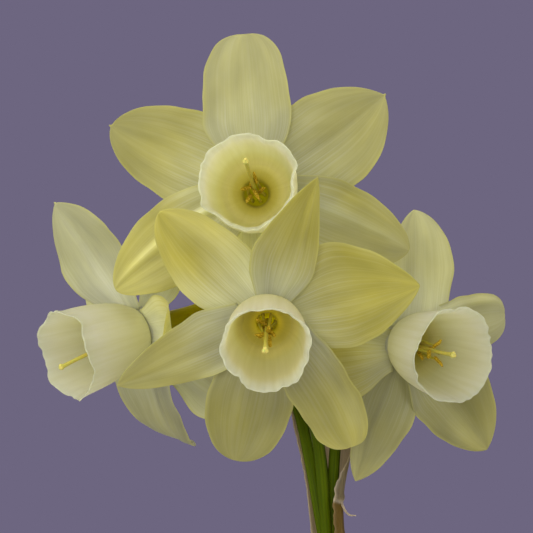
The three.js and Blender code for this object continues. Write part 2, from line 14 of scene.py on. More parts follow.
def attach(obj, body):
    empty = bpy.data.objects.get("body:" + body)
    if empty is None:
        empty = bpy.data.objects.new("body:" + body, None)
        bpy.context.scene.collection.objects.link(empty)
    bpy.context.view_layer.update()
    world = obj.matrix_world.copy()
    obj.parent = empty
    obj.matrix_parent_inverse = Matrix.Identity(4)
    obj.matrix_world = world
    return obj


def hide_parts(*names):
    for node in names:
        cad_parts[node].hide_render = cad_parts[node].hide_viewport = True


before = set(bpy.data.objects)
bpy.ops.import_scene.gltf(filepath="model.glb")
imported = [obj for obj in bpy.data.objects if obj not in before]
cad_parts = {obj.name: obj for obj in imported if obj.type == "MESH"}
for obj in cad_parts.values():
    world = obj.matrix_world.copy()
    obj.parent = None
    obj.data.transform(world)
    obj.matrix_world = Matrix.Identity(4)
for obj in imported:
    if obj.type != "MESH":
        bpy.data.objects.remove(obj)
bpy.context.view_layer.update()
MM = 0.001
TAU = 2 * math.pi

# %% [markdown]
# ## Shader tools
# Shaders work in linear light, while a colour picker gives sRGB values, so one function turns a
# hex colour to linear. A second one adds a shader node. Each socket gets a value, a hex colour or a
# link, when another node or one of its outputs is given. The other settings follow by name, and a
# colour ramp has its stops. A mix of colours takes them in sockets 6 and 7 and gives output 2.
# A layer is a vector that the mesh carries at every point. `grain` holds millimetres across and
# along a piece, so that veins follow its form. `shade` and `light` hold shares for the colours.

# %% Colours and nodes
def linear(hex_colour):
    parts = [int(hex_colour[i:i + 2], 16) / 255 for i in (1, 3, 5)]
    return (*[p / 12.92 if p <= 0.04045 else ((p + 0.055) / 1.055) ** 2.4 for p in parts], 1.0)


def add_node(tree, kind, sockets, stops=(), **settings):
    node = tree.nodes.new(kind)
    for name, value in settings.items():
        setattr(node, name, value)
    for name, value in sockets.items():
        if isinstance(value, bpy.types.Node):
            value = value.outputs[0]
        if isinstance(value, bpy.types.NodeSocket):
            tree.links.new(value, node.inputs[name])
        else:
            node.inputs[name].default_value = linear(value) if isinstance(value, str) else value
    for index, (position, colour) in enumerate(stops):
        elements = node.color_ramp.elements
        stop = elements[index] if index < 2 else elements.new(position)
        stop.position = position
        stop.color = linear(colour)
    return node


def new_material(name):
    material = bpy.data.materials.new(name)
    material.use_nodes = True
    material.node_tree.nodes.clear()
    return material, material.node_tree


print("cream in linear light:", [round(c, 3) for c in linear("#f2ecc0")])

# %% [markdown]
# Every petal and leaf here is a thin sheet. A sheet is made from its middle surface, a grid of
# points, moved out to both sides by half the thickness. Both faces share the points of the edge,
# so the edge is sharp and closed, as on a real petal, and there is no rim of side faces.
# Stalks are rings joined along a route, and turned forms are rings joined along an outline.

# %% Sheets, lofts and pieces
def sheet(middle, half):
    """Points and faces of a sheet, from its middle surface and its half thickness."""
    rows, columns = middle.shape[:2]
    along = np.gradient(middle, axis=0)
    across = np.gradient(middle, axis=1)
    normal = np.cross(across, along)
    normal /= np.linalg.norm(normal, axis=2, keepdims=True) + 1e-12
    front = middle + normal * half[..., None]
    back = middle - normal * half[..., None]
    edge = np.ones((rows, columns), bool)
    edge[1:-1, 1:-1] = False
    front[edge] = middle[edge]
    top = np.arange(rows * columns).reshape(rows, columns)
    under = top.copy()
    under[1:-1, 1:-1] = rows * columns + np.arange((rows - 2) * (columns - 2)).reshape(rows - 2, -1)
    points = np.concatenate([front.reshape(-1, 3), back[1:-1, 1:-1].reshape(-1, 3)])
    quads = [top[:-1, :-1], top[:-1, 1:], top[1:, 1:], top[1:, :-1]]
    turned_quads = [under[:-1, :-1], under[1:, :-1], under[1:, 1:], under[:-1, 1:]]
    faces = np.concatenate([np.stack(q, -1).reshape(-1, 4) for q in (quads, turned_quads)])
    return points, faces.tolist()


def on_both_faces(values):
    """A layer in the order of a sheet's points."""
    size = values.shape[-1]
    return np.concatenate([values.reshape(-1, size), values[1:-1, 1:-1].reshape(-1, size)])


def loft(rings):
    """Points and faces of rings joined to a closed form, with a middle point in each end."""
    count, sides = rings.shape[:2]
    at = np.arange(count * sides).reshape(count, sides)
    after = np.roll(at, -1, axis=1)
    quads = np.stack([at[:-1], after[:-1], after[1:], at[1:]], -1).reshape(-1, 4).tolist()
    points = np.concatenate([rings.reshape(-1, 3), [rings[0].mean(axis=0), rings[-1].mean(axis=0)]])
    first, last = count * sides, count * sides + 1
    start = [(first, after[0, k], at[0, k]) for k in range(sides)]
    end = [(last, at[-1, k], after[-1, k]) for k in range(sides)]
    return points, quads + start + end


def with_caps(values):
    """A layer in the order of a loft's points."""
    return np.concatenate([values.reshape(-1, values.shape[-1]), values[0, :1], values[-1, :1]])


def piece(name, parts, materials, slot, *stands_for):
    """Joins parts (points in mm, faces, layers, material number) to one object on the root."""
    points, faces, numbers, layers, offset = [], [], [], {}, 0
    for part_points, part_faces, part_layers, number in parts:
        points.append(part_points)
        faces += [tuple(int(i) + offset for i in face) for face in part_faces]
        numbers += [number] * len(part_faces)
        for key, values in part_layers.items():
            layers.setdefault(key, []).append(values)
        offset += len(part_points)
    mesh = bpy.data.meshes.new(name)
    mesh.from_pydata((np.concatenate(points) * MM).tolist(), [], faces)
    mesh.polygons.foreach_set("material_index", numbers)
    mesh.polygons.foreach_set("use_smooth", [True] * len(faces))
    for key, values in layers.items():
        attribute = mesh.attributes.new(key, "FLOAT_VECTOR", "POINT")
        attribute.data.foreach_set("vector", np.concatenate(values).astype(np.float32).ravel())
    for material in materials:
        mesh.materials.append(material)
    mesh.update()
    made = bpy.data.objects.new(name, mesh)
    bpy.context.collection.objects.link(made)
    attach(made, "root")
    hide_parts(*stands_for)
    triangles = sum(len(face) - 2 for face in faces)
    low, high = np.concatenate(points).min(axis=0), np.concatenate(points).max(axis=0)
    print(name, triangles, "triangles, mm", low.round(1), high.round(1))
    return made


print("two rings of four points make", len(loft(np.zeros((2, 4, 3)))[1]), "faces with both ends")

# %% [markdown]
# ## The blade
# Petals and leaves grow alike: a midrib that leans, curls and swings to the side from its foot to
# its tip, and a blade that widens and narrows along it, bowed like a shallow gutter. The formula is
# the one that the CAD model uses, so the fine blade lies where the coarse solid is. Sizes are in
# millimetres and turns in degrees, and `s` runs from 0 at the foot to 1 at the tip.

# %% Blade formula
MIDRIB_STEPS = 480
BLADE = dict(
    length=31, width=18, lean=0, curl=0, hook=0, sway=0, cup=15, cupTip=10, twist=0,
    wave=0.5, phase=0, fold=0.4, widest=0.45, neck=0.42, point=2, blunt=1.7, skew=0, nib=0,
)


def lerp(a, b, share):
    return a + (b - a) * share


def smoothstep(x, low, high):
    """From 0 at low to 1 at high, with soft ends."""
    share = np.clip((x - low) / (high - low), 0, 1)
    return share * share * (3 - 2 * share)


def outline(form, s):
    """The blade's half width at s, as a share of its full one."""
    rising = np.sin(np.pi / 2 * np.clip(s / form["widest"], 0, 1)) ** 1.3
    q = np.clip((s - form["widest"]) / (1 - form["widest"]), 0, 1)
    falling = (1 - q ** form["point"]) ** (1 / form["blunt"])
    return np.where(s < form["widest"], lerp(form["neck"], 1, rising), falling)


def blade(form, start, along, face, s, v, width_share, extra):
    """Points of the middle surface for the stations s along the midrib and v across it."""
    # The midrib walks forward in small steps, and its direction turns a little at each of them.
    aside = np.cross(along, face)
    fine = np.linspace(0, s[-1], MIDRIB_STEPS + 1)
    late = np.clip((fine - 0.6) / 0.4, 0, 1)
    tip = np.radians(form["lean"] + form["curl"] * fine + form["hook"] * late ** 2)[:, None]
    swing = np.radians(form["sway"] * fine)[:, None]
    turn = np.radians(form["twist"] * fine)[:, None]
    way = np.cos(swing) * along + np.sin(swing) * aside
    side = np.cos(swing) * aside - np.sin(swing) * along
    ahead = np.cos(tip) * way + np.sin(tip) * face
    side = np.cos(turn) * side + np.sin(turn) * np.cross(ahead, side)
    normal = np.cross(side, ahead)
    step = form["length"] * s[-1] / MIDRIB_STEPS
    walked = np.cumsum((ahead[1:] + ahead[:-1]) / 2, axis=0)
    midrib = start + np.concatenate([np.zeros((1, 3)), walked]) * step

    def at(values):
        return np.stack([np.interp(s, fine, values[:, k]) for k in range(3)], axis=1)[:, None, :]

    # Across it, the blade is an arc of a circle, with a rippled edge and a crease down its middle.
    S, V = s[:, None], v[None, :]
    bow = np.radians(lerp(form["cup"], form["cupTip"], S))
    reach = form["width"] / 2 * width_share * (1 + form["skew"] * V)
    ripple = form["wave"] * np.abs(V) ** 3 * np.sin(TAU * (1.6 * S + form["phase"] + 0.3 * V))
    crease = form["fold"] * np.exp(-((V / 0.16) ** 2)) * np.sin(np.pi * np.minimum(1, 1.05 * S))
    lift = reach * (1 - np.cos(bow * V)) / bow + ripple * np.sin(np.pi * np.minimum(S, 1)) - crease
    across = reach * np.sin(bow * V) / bow
    return at(midrib) + at(side) * across[..., None] + at(normal) * (lift + extra)[..., None]


print("a blade is widest at", BLADE["widest"], "where its half width is", outline(BLADE, 0.45).round(3))

# %% [markdown]
# ## Petals
# A narcissus petal is a sheet of clear cells under half a millimetre thick. Light goes into it and
# comes out on the other side, so the shader is a mix of an ordinary surface and a translucent one.
# Fine veins run lengthwise and draw together at both ends. The foot is creamy white, the blade
# turns yellow towards its tip and edges, and the tip ends in a small pale point.

# %% Petal material
def petal_material():
    material, tree = new_material("fresh petal tissue, veined")
    grain = add_node(tree, "ShaderNodeAttribute", {}, attribute_name="grain")
    shade = add_node(tree, "ShaderNodeAttribute", {}, attribute_name="shade")
    parts = add_node(tree, "ShaderNodeSeparateXYZ", {0: shade.outputs["Vector"]})
    light = add_node(tree, "ShaderNodeAttribute", {}, attribute_name="light")
    lights = add_node(tree, "ShaderNodeSeparateXYZ", {0: light.outputs["Vector"]})
    # Veins stand about 0.3 mm apart across the blade and run on for 30 mm along it.
    stretched = add_node(tree, "ShaderNodeVectorMath",
                         {0: grain.outputs["Vector"], 1: (3.4, 0.025, 1)}, operation="MULTIPLY")
    veins = add_node(tree, "ShaderNodeTexNoise",
                     {"Vector": stretched, "Scale": 1.0, "Detail": 2.0, "Roughness": 0.5})
    # Soft patches of 6 to 8 mm, where the tissue is a little thicker or thinner.
    patches = add_node(tree, "ShaderNodeTexNoise",
                       {"Vector": grain.outputs["Vector"], "Scale": 0.14, "Detail": 2.0})
    patchy = add_node(tree, "ShaderNodeMapRange", {0: patches, 1: 0.3, 2: 0.7, 3: 0.9, 4: 1.1})
    yellow = add_node(tree, "ShaderNodeMath",
                      {0: parts.outputs[1], 1: patchy}, operation="MULTIPLY", use_clamp=True)
    ground = add_node(tree, "ShaderNodeValToRGB", {0: yellow},
                      stops=[(0.0, "#f5f6e8"), (0.25, "#f1f1ca"), (0.6, "#ede9a1"), (1.0, "#e9e278")])
    lines = add_node(tree, "ShaderNodeMapRange", {0: veins, 1: 0.44, 2: 0.66, 3: 0.0, 4: 0.28})
    drawn = add_node(tree, "ShaderNodeMath", {0: lines, 1: lights.outputs[1]}, operation="MULTIPLY")
    veined = add_node(tree, "ShaderNodeMix",
                      {0: drawn, 6: ground, 7: "#d4d29c"}, data_type="RGBA", blend_type="MULTIPLY")
    # Long soft bands, 2 to 4 mm wide, as the sheet swells and sinks between its main veins: painted
    # light and shade.
    drawn_out = add_node(tree, "ShaderNodeVectorMath",
                         {0: grain.outputs["Vector"], 1: (0.3, 0.09, 1)}, operation="MULTIPLY")
    bands = add_node(tree, "ShaderNodeTexNoise", {"Vector": drawn_out, "Scale": 1.0, "Detail": 2.0})
    uneven = add_node(tree, "ShaderNodeMapRange", {0: bands, 1: 0.3, 2: 0.7, 3: 0.93, 4: 1.07})
    tone = add_node(tree, "ShaderNodeMath", {0: lights, 1: uneven}, operation="MULTIPLY")
    # A painted near-white highlight lies on the small bulges between the veins, most of all near the foot.
    crest_highlight = add_node(tree, "ShaderNodeMapRange", {0: veins, 1: 0.5, 2: 0.32, 3: 0.0, 4: 0.3})
    pale = add_node(tree, "ShaderNodeMath", {0: crest_highlight, 1: lights.outputs[2]}, operation="MULTIPLY")
    lined = add_node(tree, "ShaderNodeMix",
                     {0: pale, 6: veined.outputs[2], 7: "#fdfdf4"}, data_type="RGBA")
    toned = add_node(tree, "ShaderNodeVectorMath", {0: lined.outputs[2], 3: tone}, operation="SCALE")
    # The thinner last half millimetre of the margin gets a painted glow: brighter and a clearer yellow.
    edge = add_node(tree, "ShaderNodeMapRange", {0: parts, 1: 0.9, 2: 1.0, 3: 0.0, 4: 0.55},
                    interpolation_type="SMOOTHSTEP")
    colour = add_node(tree, "ShaderNodeMix", {0: edge, 6: toned, 7: "#dcd98c"}, data_type="RGBA")
    bump = add_node(tree, "ShaderNodeBump", {"Height": veins, "Strength": 0.13, "Distance": 0.00012})
    # A faint sheen and a broken gloss come from the rounded cells of the skin.
    gloss = add_node(tree, "ShaderNodeMapRange", {0: veins, 3: 0.5, 4: 0.66})
    surface = add_node(tree, "ShaderNodeBsdfPrincipled",
                       {"Base Color": colour.outputs[2], "Roughness": gloss, "IOR": 1.4,
                        "Sheen Weight": 0.22, "Sheen Roughness": 0.4, "Normal": bump})
    # Light that has gone through the tissue is a warmer yellow than light thrown back by it.
    glow = add_node(tree, "ShaderNodeMix", {0: 0.7, 6: colour.outputs[2], 7: "#fbfac4"},
                    data_type="RGBA", blend_type="MULTIPLY")
    through = add_node(tree, "ShaderNodeBsdfTranslucent", {"Color": glow.outputs[2], "Normal": bump})
    both = add_node(tree, "ShaderNodeMixShader", {0: 0.66, 1: surface, 2: through})
    add_node(tree, "ShaderNodeOutputMaterial", {"Surface": both})
    return material


PETAL_TISSUE = petal_material()
print("made", PETAL_TISSUE.name)

# %% [markdown]
# Each flower has its own frame: X to its right, Y to its own up and Z out of its cup. Lengths are
# in millimetres and turns in degrees. The other numbers are factors, and 1 changes nothing.
#
# A flower:
# - `place` is the middle of its ring of petals. `yaw` and `nod` turn its face aside and down.
# - `mouth` and `depth` are the cup's radius and height. `belly` narrows its lower wall,
#   `rim_power` says how steeply the wall joins the rim's own outline, `eye` is the throat's radius.
# - `throat`, `wall` and `outer` brighten parts of the cup, and `butter` warms its inside. `throat`
#   is painted light in the throat's shade. `wall` and `outer` are partly the cup's own tone and
#   partly painted light and shade.
# - `warm` is how yellow the petals are, `base` the same at the foot, `pale_foot` brightens the foot.
# - `tilt` (least and most) and `spread` lay out the anthers. `reach` and `style` make filaments
#   and style longer, `style_bend` bows the style, and `bend` shifts the whole throat aside.
# - `stalk` is the route of its stalk down to the stem.
#
# A petal, of which the even ones are the inner ring and lie in front:
# - `turn` is counted clockwise from up, as seen from the front. `sway`, `lean`, `curl` and `hook`
#   bend it to the side, from its foot, along its length and at its tip.
# - `length`, `width`, `widest` and `neck` size it. `point` and `blunt` shape its end, `skew` makes
#   one half fuller, `nib` is the small point of the tip, and from `tail` on one half is narrow.
# - `cup` and `cupTip` bow it across, at its foot and its tip. `rough` makes its margin uneven.
# - `folds` are long dents: their place from -1 to 1 across, their width and their height.
# - `base` and `tint` set its yellow, `ripe` the place where that is reached, `tone` its
#   brightness, `dim` that of its outer half. `streaks` are stripes: place, width, yellow, bright.
#   This brightness, and the flower's `pale_foot`, is partly the tissue and partly painted light and
#   shade for how the petal lies to the lamps, with painted highlights on its ridges in the streaks.

# %% Flowers of the umbel
FLOWERS = {
    "centre": dict(
        place=(-6.6, -28, 449.3), yaw=-1, nod=14.5, mouth=8.4, depth=18, belly=0.95, rim_power=1.0,
        eye=2.05, throat=2.9, wall=0.91, outer=1.06, butter=0.62, warm=0.8, base=0.12, pale_foot=1.05,
        tilt=(20, 60), spread=0.75, reach=-1.5, style_bend=(0, 0),
        stalk=[(-3.4, -9.5, 445), (0.7, -6, 434), (3.3, -3, 426.5), (4.8, -1.4, 413)],
        petals=[
            dict(turn=15.4, sway=7.2, lean=8, curl=-5, length=30.8, width=13.4, widest=0.36, neck=0.42,
                 point=1.3, blunt=1.2, skew=-0.08, cup=20, cupTip=38, tint=1.3, tone=0.765, ripe=0.72,
                 folds=[(0.32, 0.07, 0.5)]),
            dict(turn=76, lean=3, length=30.2, width=21.5, widest=0.45, neck=0.5, point=1.5, blunt=1.3,
                 skew=-0.16, cup=8, base=0.25, tint=1.22, tone=0.82,
                 folds=[(-0.1, 0.3, 0.3), (0.5, 0.12, -0.2)]),
            dict(turn=135, sway=26, curl=5, length=30.1, width=12.2, widest=0.3, neck=0.95, point=4.2,
                 blunt=2.9, skew=0.08, cup=14, rough=2.2, tint=1.05, tone=0.67, dim=1.2,
                 folds=[(-0.2, 0.2, 0.25), (-0.7, 0.1, -0.3)], streaks=[(-0.75, 0.12, -0.1, 0.12)]),
            dict(turn=192, lean=-2, length=29.3, width=16.8, widest=0.5, point=2.3, blunt=2, tint=0.95,
                 tone=0.63, folds=[(0.25, 0.1, -0.15)]),
            dict(turn=242, sway=10.9, lean=3, length=31.5, width=12.8, widest=0.3, neck=0.82, point=1.5,
                 blunt=1.45, skew=0.24, tint=0.85, tone=0.74),
            dict(turn=316.5, lean=2, length=29.8, width=15.6, neck=0.6, point=1.7, tint=1.15, tone=0.91,
                 ripe=0.85, folds=[(0.4, 0.14, 0.35), (-0.4, 0.25, 0.2)],
                 streaks=[(-0.3, 0.35, 0.17, 0), (0.6, 0.25, -0.1, 0.02)]),
        ],
    ),
    "top": dict(
        place=(-9, -2, 475.6), yaw=-4.5, nod=-3.5, mouth=9.8, depth=18, rim_power=2.5, eye=2.9, throat=1.18,
        wall=1.0, warm=0.62, base=0.2, pale_foot=1.1, tilt=(25, 65), spread=0.8, reach=-2.5,
        style_bend=(-0.2, 3.6), bend=(0.25, -1.1),
        stalk=[(-5.6, 17.5, 466), (-2.6, 13, 450), (2.2, 6, 433), (5, 2.2, 415)],
        petals=[
            dict(turn=-4, length=31.1, width=17.8, widest=0.37, neck=0.36, point=2.75, blunt=3, skew=-0.07,
                 tint=0.72, tone=0.77, folds=[(0.25, 0.1, -0.35), (-0.4, 0.25, 0.4)]),
            dict(turn=57.5, sway=-8.5, lean=-2, length=31.9, width=21, widest=0.33, neck=0.56, point=2.67,
                 blunt=1.24, skew=0.04, nib=0.4, cup=9, tint=0.95, tone=0.7,
                 folds=[(0.0, 0.05, -0.5), (0.45, 0.1, 0.3)]),
            dict(turn=112, lean=2, length=33.2, width=17, neck=0.6, point=1.8, skew=0.06, tint=1.0,
                 tone=0.69, folds=[(-0.2, 0.2, 0.2)],
                 streaks=[(-0.75, 0.2, 0.15, 0.14), (-0.2, 0.14, -0.25, 0.14)]),
            dict(turn=172, lean=-10, length=33, width=18, neck=0.6, tone=1.04),
            dict(turn=233, lean=8, length=34.5, width=16.6, neck=0.6, point=1.8, skew=0.1, tint=1.25,
                 tone=0.88, folds=[(0.3, 0.1, 0.8), (-0.2, 0.1, 0.5)],
                 streaks=[(0.34, 0.09, -0.3, 0.45), (-0.3, 0.25, 0, -0.1)]),
            dict(turn=292, sway=3.4, length=31.8, width=19.2, widest=0.32, neck=0.59, point=2.2, blunt=1.74,
                 skew=0.06, nib=0.5, tint=1.15, tone=0.77, dim=0.84,
                 folds=[(0.05, 0.05, -0.5), (-0.4, 0.15, 0.3)]),
        ],
    ),
    "left": dict(
        place=(-32.4, 6, 446.9), yaw=-54.5, nod=14, mouth=9.5, depth=18, belly=0.82, rim_power=2.5,
        wall=0.91, warm=0.3, base=0.0, pale_foot=1.12, tilt=(5, 25), spread=1.3, reach=-2.5,
        style_bend=(0, -2.2),
        stalk=[(-12, 15.5, 451.1), (-5.6, 11.5, 442.8), (-0.4, 4.2, 431.4), (2, 0.8, 421), (3.8, 0, 411)],
        petals=[
            dict(turn=-29, sway=6.3, lean=10.8, length=31.6, width=24.6, widest=0.6, neck=0.32, point=1.3,
                 blunt=1.35, skew=0.14, nib=0.3, tint=0.9, tone=0.8, folds=[(-0.1, 0.06, 0.5)],
                 streaks=[(-0.05, 0.3, -0.1, 0.05)]),
            dict(turn=24, sway=-16, lean=-34, length=25, width=13, tint=2.0, tone=0.74),
            dict(turn=89, sway=5, curl=58, length=28, width=16.6, neck=0.6, cup=36, cupTip=-20, tint=1.6,
                 tone=0.97, streaks=[(-0.85, 0.3, 0.25, 0.08)]),
            dict(turn=126, lean=-5, length=31, width=15, tone=0.72),
            dict(turn=191.8, sway=-3.5, lean=2, curl=-38, hook=-45, length=29.9, width=22, widest=0.3,
                 neck=0.69, point=1.3, blunt=2.06, tail=0.8, tint=1.3, tone=0.66, folds=[(-0.3, 0.1, 0.4)]),
            dict(turn=283, lean=-12, length=30, width=17, tone=0.93),
        ],
    ),
    "right": dict(
        place=(21.5, 3, 443.4), yaw=30, nod=4, mouth=9.2, depth=17.5, belly=0.84, rim_power=2.5, wall=0.89,
        warm=0.36, base=0.12, pale_foot=1.05, tilt=(15, 45), spread=1.5, style=-2.6, style_bend=(0, 0.4),
        bend=(0, 1.2),
        stalk=[(10.4, 16, 439), (8.8, 8.5, 433), (7.4, 4, 426), (6.7, 1.6, 418), (6.5, 0.6, 411)],
        petals=[
            dict(turn=15.2, sway=-20, lean=-8, length=28.4, width=14.4, widest=0.31, neck=0.83, point=3.7,
                 blunt=1.4, skew=0.14, tone=0.88, folds=[(-0.35, 0.1, -0.3), (0.3, 0.1, -0.25)]),
            dict(turn=73.5, sway=7.5, lean=-9, length=27.9, width=12.7, widest=0.3, point=2.9, blunt=3,
                 skew=-0.01, tone=0.76, folds=[(-0.75, 0.12, 0.8), (0.3, 0.2, -0.3)],
                 streaks=[(-0.8, 0.15, 0, 0.25)]),
            dict(turn=129, sway=14.4, length=29.4, width=18, widest=0.35, neck=0.54, point=2.2, blunt=1.35,
                 skew=-0.05, base=0.4, tint=1.8, tone=0.57, dim=1.2, folds=[(0.1, 0.1, 0.5)],
                 streaks=[(0.35, 0.3, -0.1, 0.2), (-0.3, 0.3, 0.05, -0.06)]),
            dict(turn=200.8, length=28.4, width=13.3, widest=0.32, neck=0.36, point=2.4, blunt=1.2,
                 skew=-0.11, base=0.4, tint=1.5, tone=0.58, dim=1.26, folds=[(0.2, 0.1, 0.25)]),
            dict(turn=266, lean=-13, length=27, width=20, base=0.35, tint=2.8, tone=0.85),
            dict(turn=322, lean=-25, length=29, width=16, tone=0.87),
        ],
    ),
}


def flower_axes(flower):
    yaw, nod = math.radians(flower["yaw"]), math.radians(flower["nod"])
    out = np.array([math.sin(yaw) * math.cos(nod), -math.cos(yaw) * math.cos(nod), -math.sin(nod)])
    right = np.cross([0, 0, 1], out)
    right /= np.linalg.norm(right)
    return np.stack([right, np.cross(out, right), out])


def placed(flower, points):
    return np.asarray(points) @ flower_axes(flower) + np.array(flower["place"])


def settled(flower, points):
    """Shifts what stands in the cup: a little at its mouth and by the flower's bend in the throat."""
    points = np.array(points, float)
    share = np.clip(1 - points[..., 2] / flower["depth"], 0, 1.1)
    points[..., :2] += np.array(flower.get("bend", (0, 0))) * (share ** 1.4)[..., None]
    return placed(flower, points)


for name, flower in FLOWERS.items():
    print(name, "faces", flower_axes(flower)[2].round(2), "from", flower["place"])

# %% [markdown]
# A grid of 72 by 37 points is enough for a smooth petal. The columns stand closer at the edges and
# the rows closer at the tip, where the outline turns fastest. Small waves along the margin keep the
# six petals of a flower from looking stamped out. The petals start 3.3 mm from the flower's middle,
# inside a small collar that joins them, and the outer ring lies about a millimetre further back.

# %% Build the petals
UP = np.array([0, 0, 1.0])
PETAL_ROWS = 72
PETAL_COLUMNS = 37
PETAL_START = 3.3
INNER_RISE = -0.55
OUTER_RISE = -1.5
NIB_START = 0.965
NIB_HALF_WIDTH = 0.035
UNEVENNESS = 0.013
HALF_THICKNESS = 0.24
COLLAR_SIDES = 48
COLLAR = [(3.2, -0.3), (3.9, 0.1), (4.6, -0.2), (4.95, -0.8), (4.8, -1.5), (4.2, -2.0), (3.5, -2.3),
          (3.2, -2.3), (3.2, -1.2)]


def ring_angles(sides):
    return TAU * np.arange(sides) / sides


def stacked(*numbers):
    """Three grids, rows or single numbers as one grid of vectors."""
    return np.stack(np.broadcast_arrays(*numbers), -1)


def turned(outline_points, sides):
    """Rings from an outline of (radius, height), turned round Z."""
    angle = ring_angles(sides)
    profile = np.array(outline_points, float)
    ring = stacked(np.sin(angle), np.cos(angle), 0)
    return profile[:, None, :1] * ring[None] + UP * profile[:, None, 1:]


def hoop(rings):
    """A closed band: the last ring joins the first."""
    count, sides = rings.shape[:2]
    at = np.arange(count * sides).reshape(count, sides)
    after, above = np.roll(at, -1, axis=1), np.roll(at, -1, axis=0)
    faces = np.stack([at, above, np.roll(above, -1, axis=1), after], -1).reshape(-1, 4)
    return rings.reshape(-1, 3), faces.tolist()


def petal_part(flower, form, number, seed):
    form = {**BLADE, **form}
    form["length"] -= PETAL_START
    dice = np.random.default_rng(seed)
    turn = math.radians(form["turn"])
    along = np.array([math.sin(turn), math.cos(turn), 0])
    rise = INNER_RISE if number % 2 == 0 else OUTER_RISE
    end = 1 + form["nib"] / form["length"]
    s = end * (1 - (1 - np.linspace(0, 1, PETAL_ROWS)) ** 1.5)
    v = np.sin(np.pi / 2 * np.linspace(-1, 1, PETAL_COLUMNS))
    nib = NIB_HALF_WIDTH * np.sqrt(np.clip(1 - ((s - NIB_START) / (end - NIB_START)) ** 2, 0, 1))
    nib = nib * (s > NIB_START) * (form["nib"] > 0)
    share = np.maximum(outline(form, s), np.maximum(nib, 1e-4))[:, None]
    # The margin is a little uneven, on the left otherwise than on the right.
    a, b, c = dice.uniform(0, TAU, 3)
    left = np.sin(17 * s + a) + 0.6 * np.sin(31 * s + b)
    right = np.sin(15 * s + c) + 0.6 * np.sin(29 * s + a)
    uneven = np.where(v[None] < 0, left[:, None], right[:, None])
    uneven = uneven * UNEVENNESS * form.get("rough", 1) * np.abs(v[None]) ** 2
    share = share * (1 + uneven * np.clip(8 * (1 - s[:, None]), 0, 1))
    S, V = np.meshgrid(np.minimum(s, 1), v, indexing="ij")
    # The sheet isn't flat: a ruffled margin, shallow gutters, the petal's own folds and slow swells.
    ruffle = 0.22 * np.abs(V) ** 4 * np.sin(TAU * (2.7 * S + 0.4 * V) + a) * np.sin(np.pi * S)
    gutters = 0.08 * np.cos(7 * V + b) * np.sin(np.pi * S) * (1 - V ** 2)
    for place, wide, high in form.get("folds", []):
        gutters = gutters + high * np.exp(-(((V - place) / wide) ** 2)) * np.sin(np.pi * S ** 0.8) ** 0.7
    waves = 0.28 * np.sin(TAU * (1.2 * S + 0.4 * V) + c) + 0.16 * np.sin(TAU * (2.1 * S - 0.7 * V) + a)
    gutters = gutters + waves * np.sin(np.pi * S) ** 0.8
    if "tail" in form:
        share = share * (1 - 0.5 * smoothstep(s, form["tail"], form["tail"] + 0.1)[:, None] * (v > 0))
    start = along * PETAL_START + [0, 0, rise]
    middle = blade(form, start, along, UP, s, v, share, ruffle + gutters)
    half = HALF_THICKNESS * np.sqrt(np.clip(1 - V ** 4, 0, 1)) * lerp(1, 0.7, S)
    points, faces = sheet(middle, half)
    grain = stacked(V * form["width"] / 2 + 40 * number, S * form["length"], 7.0 * seed)
    # Colour: how close the margin is, how yellow and how bright each point is.
    closeness = np.maximum(np.abs(V), np.clip((S - 0.8) / 0.2, 0, 1) ** 2)
    ripe = smoothstep(S, 0.03, form.get("ripe", 0.65))
    yellow = lerp(form.get("base", flower["base"]), flower["warm"] * form.get("tint", 1), ripe)
    # Brightness is partly the tissue and partly painted light and shade, with ridge highlights in streaks.
    tone = form.get("tone", 1) * (1 + 0.04 * np.sin(4.4 * V + 1.3 * S + a))
    tone = tone * lerp(flower["pale_foot"], 1, ripe)
    tone = tone * lerp(1, form.get("dim", 1), smoothstep(S, 0.5, 1))
    for place, wide, yellower, brighter in form.get("streaks", []):
        streak = np.exp(-(((V - place) / wide) ** 2)) * np.sin(np.pi * np.clip(S, 0.02, 0.98)) ** 0.6
        yellow = yellow + yellower * streak
        tone = tone * (1 + brighter * streak)
    vein_share = 1 - 0.75 * S ** 0.7
    # How strong the painted highlight on the crests between the veins is: strongest at the foot.
    crest_highlight_share = np.clip(2.1 - 3.2 * S, 0.3, 2.1)
    layers = {
        "grain": on_both_faces(grain),
        "shade": on_both_faces(stacked(closeness, np.clip(yellow, 0, 1.3), 0)),
        "light": on_both_faces(stacked(tone, vein_share, crest_highlight_share)),
    }
    return placed(flower, points), faces, layers, 0


def petals_of(name, flower, seed):
    points, faces = hoop(turned(COLLAR, COLLAR_SIDES))
    even = np.tile([0.0, 0.0, seed], (len(points), 1))
    layers = {"grain": points * [1, 1, 0] + even, "shade": even * 0 + [0, flower["base"], 0],
              "light": even * 0 + [0.75, 0.5, 0]}
    parts = [(settled(flower, points), faces, layers, 0)]
    for number, form in enumerate(flower["petals"]):
        parts.append(petal_part(flower, form, number, 10 * seed + number))
    piece(f"petals_{name}_fine", parts, [PETAL_TISSUE], "petal", f"petals_{name}")


for seed, (name, flower) in enumerate(FLOWERS.items(), 1):
    petals_of(name, flower, seed)

# %% [markdown]
# ## Cups
# The cup, or corona, is a collar of the same tissue, in front of the petals. Its wall is thin and
# faintly pleated, and its rim is uneven and almost white. Inside, the colour runs from cream at the
# rim to olive green in the throat, where the narrow flower tube starts.

